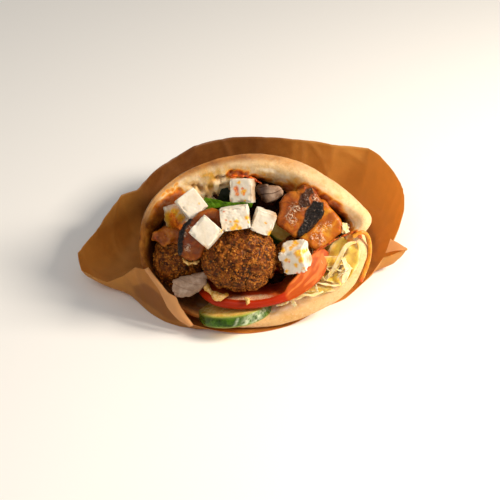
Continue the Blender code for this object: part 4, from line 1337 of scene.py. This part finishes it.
def makeCucumber():
    # salad cucumber: dark waxy rind, wet pale flesh, seeds in a clearer middle
    material, tree, shader, place = newMaterial("cucumberSlice", {
        "IOR": 1.4, "Subsurface Weight": 0.3, "Subsurface Scale": 1.8 * mm,
        "Subsurface Radius": (0.8, 1.0, 0.4), "Specular IOR Level": 0.3,
    })
    flesh = stops(tree, pattern(tree, place, 3, 2), (0.35, "#EABC54"), (0.65, "#F6D87E"))
    flesh = blend(tree, stops(tree, attribute(tree, "outward"), (0.86, 0.0), (0.97, 0.8)), flesh, "#8FA03A")
    rind = stops(tree, pattern(tree, place, 4, 3, 0.6, 0.5), (0.3, "#1E3604"), (0.5, "#355806"), (0.7, "#568010"))
    # painted highlight on the rind, as pale streaks, partly its own pale stripes
    rind = blend(tree, maths(tree, "MULTIPLY", attribute(tree, "sheen"), 0.8), rind, "#DCE2C0")
    tone = blend(tree, attribute(tree, "rim"), flesh, rind)
    tone = blend(tree, maths(tree, "MULTIPLY", attribute(tree, "shaded"), 0.5), tone, "#2C2408")
    wire(tree, shader, Base_Color=tone)
    wire(tree, shader, Roughness=stops(tree, pattern(tree, place, 2, 2), (0.4, 0.2), (0.65, 0.36)))
    relief(tree, shader, pattern(tree, place, 1.2, 2), 0.06)
    slices = (
        ("cucumberFront", "cucumber_front", 38.6, (-10.8, -35.6, -5.0), (-72, 0, 9), 4),
        ("cucumberBack", "cucumber_back", 14, (13.6, 4.2, -9), (-35, 15, 0), 5),
    )
    for name, node, width, spot, turn, salt in slices:
        mesh, flat, rim = sliceMesh(name, width, 6.2 if salt == 4 else 5.6, 0, spot, turn, salt)
        height = 0.15 * softNoise(flat, 5, 105, 2) + 0.12 * rim * softNoise(flat * (1, 1, 0.2), 1.3, 106)
        push(mesh, height * mm)
        seen = toMouth(coordinates(mesh))
        # pale streaks on the front slice's rind: painted highlight, partly its own pale stripes
        streak = sum(hump(seen[:, 0] - 0.5 * (seen[:, 1] + 38), x, wide) for x, wide in ((-8, 0.7), (-3, 2.0), (2, 2.4)))
        streak = streak * (0.5 + 1.3 * softNoise(seen, 1.2, 107, 3)) * rim
        mark(mesh, "sheen", np.clip(streak, 0, 1) * (salt == 4))
        mark(mesh, "shaded", (1 - ramp(seen[:, 0], -29, -19)) * (salt == 4) + 0.5 * (salt == 5))
        show(name, mesh, material, [node])


makeTomato()
makeCucumber()


# ---- carrot ----
def makeCarrot():
    mesh = nodeMesh(["carrot_strip"], 0.22, 4)
    flat = toMouth(coordinates(mesh)) - (1.8, 0.4, 0)
    setCoordinates(mesh, fromMouth(flat))
    push(mesh, 0.12 * softNoise(flat * (1, 0.3, 1), 1.2, 110, 2) * mm)
    mark(mesh, "low", 1 - ramp(flat[:, 1], -21, -17))
    # carrot cut into matchsticks: crisp, translucent at its edges
    material, tree, shader, place = newMaterial("rawCarrot", {
        "Roughness": 0.35, "IOR": 1.42, "Subsurface Weight": 0.35, "Subsurface Scale": 1.2 * mm,
        "Subsurface Radius": (1.0, 0.45, 0.12),
    })
    tone = stops(tree, pattern(tree, place, 2.2, 3), (0.3, "#CE7C14"), (0.65, "#E49E2E"))
    tone = blend(tree, attribute(tree, "low"), tone, "#D25A14")
    wire(tree, shader, Base_Color=tone)
    show("carrotStrip", mesh, material, ["carrot_strip"])


makeCarrot()


# ---- lettuce ----
lettuceSizes = {"coreInset": 1.6, "thickness": 0.45, "shreds": 30, "width": (3.0, 6.5), "length": (18, 34)}


def makeLettuceCore():
    mesh = nodeMesh(["lettuce_heap"], 0.8, 4)
    spots = coordinates(mesh) / mm
    near, second, tag = grains(spots + 1.5 * softNoise(spots, 5, 119)[:, None], 5.5, 120)
    push(mesh, (-lettuceSizes["coreInset"] + 1.3 * (tag - 0.5) - 1.2 * (1 - ramp(second - near, 0, 0.3))) * mm)
    # painted shade: the core darker to the left
    mark(mesh, "deep", ramp(-toMouth(coordinates(mesh))[:, 0], -26, -14))
    return mesh


def ribbon(path, up, width, thickness, ruffle, salt):
    # a leaf shred along a path of points, in mm, as one closed strip
    count = len(path)
    along = np.gradient(path, axis=0)
    along /= np.linalg.norm(along, axis=1)[:, None]
    side = np.cross(along, up)
    side /= np.linalg.norm(side, axis=1)[:, None]
    normal = np.cross(side, along)
    across = np.linspace(-1, 1, 7)
    share = np.linspace(0, 1, count)
    taper = np.sin(math.pi * np.clip(share * 0.92 + 0.04, 0, 1)) ** 0.35
    rows = []
    for sign in (1, -1):
        for a in across[:: sign]:
            wave = ruffle * abs(a) ** 1.5 * np.sin(share * 17 + salt + 2.1 * a)
            offset = side * (a * width / 2 * taper)[:, None]
            lift = normal * (wave + 0.12 * width * a * a + sign * thickness / 2 * (1 - 0.6 * abs(a)))[:, None]
            rows.append(path + offset + lift)
    grid = np.array(rows)
    return grid


def ribbonFaces(rows, count, start):
    faces = []
    for i in range(rows):
        j = (i + 1) % rows
        for k in range(count - 1):
            faces.append((start + i * count + k, start + j * count + k,
                          start + j * count + k + 1, start + i * count + k + 1))
    faces.append(tuple(start + i * count for i in range(rows)))
    faces.append(tuple(start + i * count + count - 1 for i in reversed(range(rows))))
    return faces


# the shreds that show: points x, y, z in the mouth's frame in mm, width, and how golden
shownShreds = (
    (((47, 1, -2), (44, -3, -1), (41.5, -8, -1), (39.5, -13, -1), (37, -19, -1)), 9, 0.95),
    (((52, -0.5, 2), (48.5, -1.5, 3.5), (45.8, -4, 4), (43.8, -8, 4), (41.8, -12, 3.5), (39, -16.5, 3),
      (35.5, -20.5, 2)), 2.4, 0.1),
    (((44.8, -8.5, 3), (46.3, -12, 4.5), (47.5, -15, 5), (46, -18.5, 5), (44.8, -21.8, 4.5)), 3.2, 0.0),
    (((50, -14, 3), (47.5, -15.2, 5), (44.3, -17, 5), (42.3, -18.7, 4)), 2.2, 0.1),
    (((41, -14.3, 3.5), (43.5, -15.3, 4.5), (46.5, -14.8, 4)), 1.0, 0.1),
    (((30.5, -22, 4), (33, -21.8, 5.5), (37, -22.6, 6), (40.5, -23, 6), (44, -22.8, 5)), 1.2, 0.0),
    (((18, -30, 5), (21, -29.8, 6), (25, -28, 6.8), (29, -28, 6.8), (32, -27.3, 6.5), (34.8, -26, 5.5)), 1.9, 0.0),
    (((31.2, -22.5, 5.5), (31.4, -24.5, 6), (32.3, -26.5, 6)), 1.0, 0.0),
    (((10.5, -33.4, 5.2), (14, -32.6, 6), (17.5, -31.2, 6)), 1.1, 0.05),
    (((18.5, -29.8, 6), (19.4, -31.8, 6.6), (20.8, -33.4, 6.4)), 2.4, 0.0),
    (((34, -17, 0), (38, -18.5, 1), (42, -19.5, 1), (45, -22, 0)), 7, 0.9),
    (((45, 9.5, -1), (46.6, 6.8, 0.5), (47.6, 4.2, 0)), 4, 0.1),
    (((45, 9, -5), (46, 7, -4.5), (45.5, 4, -4)), 4, 0.3),
    (((51.5, -1, 0.4), (50.5, -7, 1.6), (48.8, -13, 1.6), (46, -19.5, 0.6)), 8, 0.85),
    (((36.5, -13, 0), (38.7, -16.5, 2.5), (37, -20, 2)), 3, 0.3),
    (((24, -26, 3), (29, -24.5, 4), (33, -24.8, 4), (37, -25, 3)), 3.4, 0.8),
    (((51, -2, -3.5), (49.5, -8, -3), (46, -14, -3), (41, -20, -3)), 13, 0.8),
    (((26, -26.5, -1), (33, -24, -0.5), (40, -22, -0.5), (46, -19, -1)), 9, 0.75),
)


def makeLettuce():
    s = lettuceSizes
    draw = np.random.default_rng(11)
    points, faces, gold, edges = [], [], [], []
    count = 26
    start = 0

    def add(path, width, salt, ruffle, golden):
        nonlocal start
        up = draw.normal(size=3) * 0.5 + (0.2, 0.3, 1.0)
        grid = ribbon(path, up / np.linalg.norm(up), width, s["thickness"], ruffle, salt)
        rows = grid.shape[0]
        points.append(grid.reshape(-1, 3))
        faces.extend(ribbonFaces(rows, count, start))
        gold.append(np.full(rows * count, golden))
        edges.append(np.tile(np.abs(np.concatenate([np.linspace(-1, 1, 7)] * 2)), (count, 1)).T.ravel())
        start += rows * count

    for number, (route, width, golden) in enumerate(shownShreds):
        add(smoothPath(route, count), width, number * 1.7, 0.09 * width + 0.15, golden)
    for number in range(s["shreds"]):
        middle = np.array((draw.uniform(24, 47), draw.uniform(-27, 2), draw.uniform(-15, -6)))
        length = draw.uniform(*s["length"])
        way = draw.normal(size=3) * (1, 1, 0.35)
        way /= np.linalg.norm(way)
        curl = draw.normal(size=3) * (1, 1, 0.5)
        curl -= way * (curl @ way)
        curl /= np.linalg.norm(curl)
        share = np.linspace(-1, 1, count)[:, None]
        path = middle + way * share * length / 2 + curl * (1 - share**2) * length * draw.uniform(0.1, 0.3)
        # stay inside the bread's mouth
        away = np.hypot((path[:, 0] - 0) / 51.5, (path[:, 1] - 0) / 37.5)
        path[:, :2] = np.where(away[:, None] > 1, path[:, :2] / away[:, None], path[:, :2])
        path = toMouth(np.maximum(fromMouth(path), (-1, -1, 10 * mm)))  # and above its floor
        add(path, draw.uniform(*s["width"]), number, 0.7, draw.uniform(0.3, 1))
    mesh = meshOf("lettuceShreds", fromMouth(np.concatenate(points)), faces)
    # painted shade: shreds darker deeper in the pocket
    mark(mesh, "deep", ramp(-toMouth(coordinates(mesh))[:, 2], 5, 13))
    mark(mesh, "golden", np.concatenate(gold))
    mark(mesh, "edge", np.concatenate(edges) ** 4)
    material = lettuceMaterial()
    show("lettuceShreds", mesh, material, ())
    show("lettuceCore", makeLettuceCore(), material, ["lettuce_heap"])


def lettuceMaterial():
    # shredded heart lettuce: thin, wet and nearly see-through, cream at the ribs
    material, tree, shader, place = newMaterial("lettuceHeart", {
        "Roughness": 0.38, "IOR": 1.38, "Subsurface Weight": 0.4, "Subsurface Scale": 2.5 * mm,
        "Subsurface Radius": (1.0, 0.78, 0.25), "Specular IOR Level": 0.35,
    })
    rib = stops(tree, pattern(tree, place, 5, 3), (0.35, "#E2C67A"), (0.6, "#F4E2B0"))
    leaf = stops(tree, pattern(tree, place, 4, 3), (0.35, "#E6A01E"), (0.6, "#FCCC46"))
    tone = blend(tree, attribute(tree, "golden"), rib, leaf)
    tone = blend(tree, maths(tree, "MULTIPLY", attribute(tree, "edge"), 0.5), tone, "#F8E8B8")
    # painted shade, deeper in and to the left
    tone = blend(tree, maths(tree, "MULTIPLY", attribute(tree, "deep"), 0.45), tone, "#C48420")
    wire(tree, shader, Base_Color=tone)
    relief(tree, shader, pattern(tree, place, 0.8, 3), 0.08)
    return material


makeLettuce()


# ---- sauces ----
sauceRuns = {
    # runs of points x, y, z in the mouth's frame and a radius, in mm
    "hummus": (
        ((-26.4, -20.4, 3, 1.1), (-26, -22.4, 5.5, 1.3), (-24.8, -24.4, 7.5, 1.5), (-23, -26, 8.8, 1.2),
         (-21.3, -27.4, 10, 1.6), (-19.7, -28.6, 11.6, 2.1), (-18.3, -28.7, 12, 1.8), (-16.4, -28, 11.5, 1.2),
         (-14.6, -27.2, 10.5, 0.8)),
        ((-5, -29.6, 13.2, 0.9), (-3.9, -30.2, 13.6, 1.2), (-4, -31.2, 14.8, 1.2), (-4.4, -32.6, 14.6, 0.6)),
        ((-37.4, -9, 9, 0.5), (-35.8, -10.6, 9, 0.7), (-34.2, -11.6, 9, 0.9), (-32.3, -11.4, 9, 0.5),
         (-30.6, -11, 9, 0.7), (-29.3, -10.4, 9, 0.4)),
    ),
    "redSauce": (
        ((54, 2.2, 3.4, 1.1), (53.2, 3.2, 3.8, 1.7), (52.2, 4.2, 3.4, 1.4), (50.8, 4.8, 3.0, 0.7), (48.5, 3.8, 2.6, 0.5),
         (46, 2.9, 2.2, 0.5), (43, 1.6, 2.4, 0.45), (41, 0.7, 2.8, 0.5), (38.6, -1.2, 3.0, 0.45), (36.6, -2.4, 3.0, 0.6),
         (34.6, -3.4, 3.0, 0.7), (32.4, -4.4, 3.0, 0.8), (30.4, -5.6, 2.8, 0.7)),
        ((-13.4, 33.4, -3.6, 0.5), (-11.6, 34.2, -3.6, 0.8), (-9.4, 34.2, -3.6, 0.7), (-7.2, 34.3, -3.6, 0.9),
         (-4.8, 33.8, -3.6, 0.7), (-2.2, 33, -3.8, 0.9), (0.2, 31.6, -4.4, 0.8), (2.8, 30.4, -5.2, 0.6)),
    ),
}
sauceTones = {"hummus": ("#C08620", "#E6C078", 0.45), "redSauce": ("#982E05", "#DC6E14", 0.3)}


def makeSauce():
    for seed, (name, runs) in enumerate(sauceRuns.items()):
        bm = bmesh.new()
        for run in runs:
            run = np.array(run)
            steps = np.linspace(0, len(run) - 1, 6 * len(run))
            row = np.stack([np.interp(steps, range(len(run)), run[:, axis]) for axis in range(4)], axis=-1)
            uneven = softNoise(row[:, :3], 1.8, 145 + seed, 2)
            for (x, y, z, radius), wide in zip(row, uneven):
                spot = Matrix.Translation(fromMouth((x, y, z)))
                bmesh.ops.create_icosphere(bm, subdivisions=2, radius=radius * (1 + 0.45 * wide) * mm, matrix=spot)
        mesh = bpy.data.meshes.new("blobs")
        bm.to_mesh(mesh)
        bm.free()
        mesh = modified(
            mesh,
            ("REMESH", {"mode": "VOXEL", "voxel_size": 0.22 * mm / fine}),
            ("SMOOTH", {"factor": 0.5, "iterations": 6}),
        )
        flat = toMouth(coordinates(mesh))
        push(mesh, (0.55 * softNoise(flat, 2.2, 140 + seed, 2) + 0.25 * softNoise(flat, 0.9, 142 + seed, 2)) * mm)
        low, high, rough = sauceTones[name]
        # spread and spooned: soft peaks, an oily shine
        material, tree, shader, place = newMaterial(name, {
            "Roughness": rough, "IOR": 1.45, "Subsurface Weight": 0.2, "Subsurface Scale": 1.0 * mm,
        })
        wire(tree, shader, Base_Color=stops(tree, pattern(tree, place, 1.8, 4), (0.38, low), (0.62, high)))
        relief(tree, shader, pattern(tree, place, 0.6, 3), 0.08)
        show(name, mesh, material, ())


makeSauce()
print("filling done")


# ---- floor, light, camera ----
def makeStage():
    bpy.ops.mesh.primitive_plane_add(size=3)
    floor = bpy.context.object
    floor.name = "floor"
    material, tree, shader, place = newMaterial("matteWhite", {"Base Color": "#F4F3F1", "Roughness": 0.9})
    floor.data.materials.append(material)


def addLight(name, spot, size, power, colour, aim=(0, 0, 0.03)):
    light = bpy.data.lights.new(name, "AREA")
    light.size = size
    light.energy = power
    light.color = linear(colour)[:3]
    obj = bpy.data.objects.new(name, light)
    obj.location = spot
    obj.rotation_euler = (Vector(spot) - Vector(aim)).to_track_quat("Z", "Y").to_euler()
    bpy.context.scene.collection.objects.link(obj)


def makeLight():
    addLight("keyLight", (0.55, -0.14, 0.46), 0.22, 7.3, "#FFF2E0")
    addLight("softFill", (-0.30, -0.60, 0.70), 0.8, 2.4, "#FFFAF4")
    world = bpy.data.worlds.new("room")
    world.use_nodes = True
    world.node_tree.nodes["Background"].inputs["Color"].default_value = linear("#FFFDFA")
    world.node_tree.nodes["Background"].inputs["Strength"].default_value = 0.3
    bpy.context.scene.world = world
    bpy.context.scene.view_settings.view_transform = "Standard"


def makeCamera():
    camera = bpy.data.cameras.new("camera")
    camera.lens = 85
    obj = bpy.data.objects.new("camera", camera)
    obj.location = Vector((3.1, -545.4, 388.3)) * mm
    target = Vector((3.1, -42.5, 36.2)) * mm
    obj.rotation_euler = (obj.location - target).to_track_quat("Z", "Y").to_euler()
    bpy.context.scene.collection.objects.link(obj)
    bpy.context.scene.camera = obj


makeStage()
makeLight()
makeCamera()
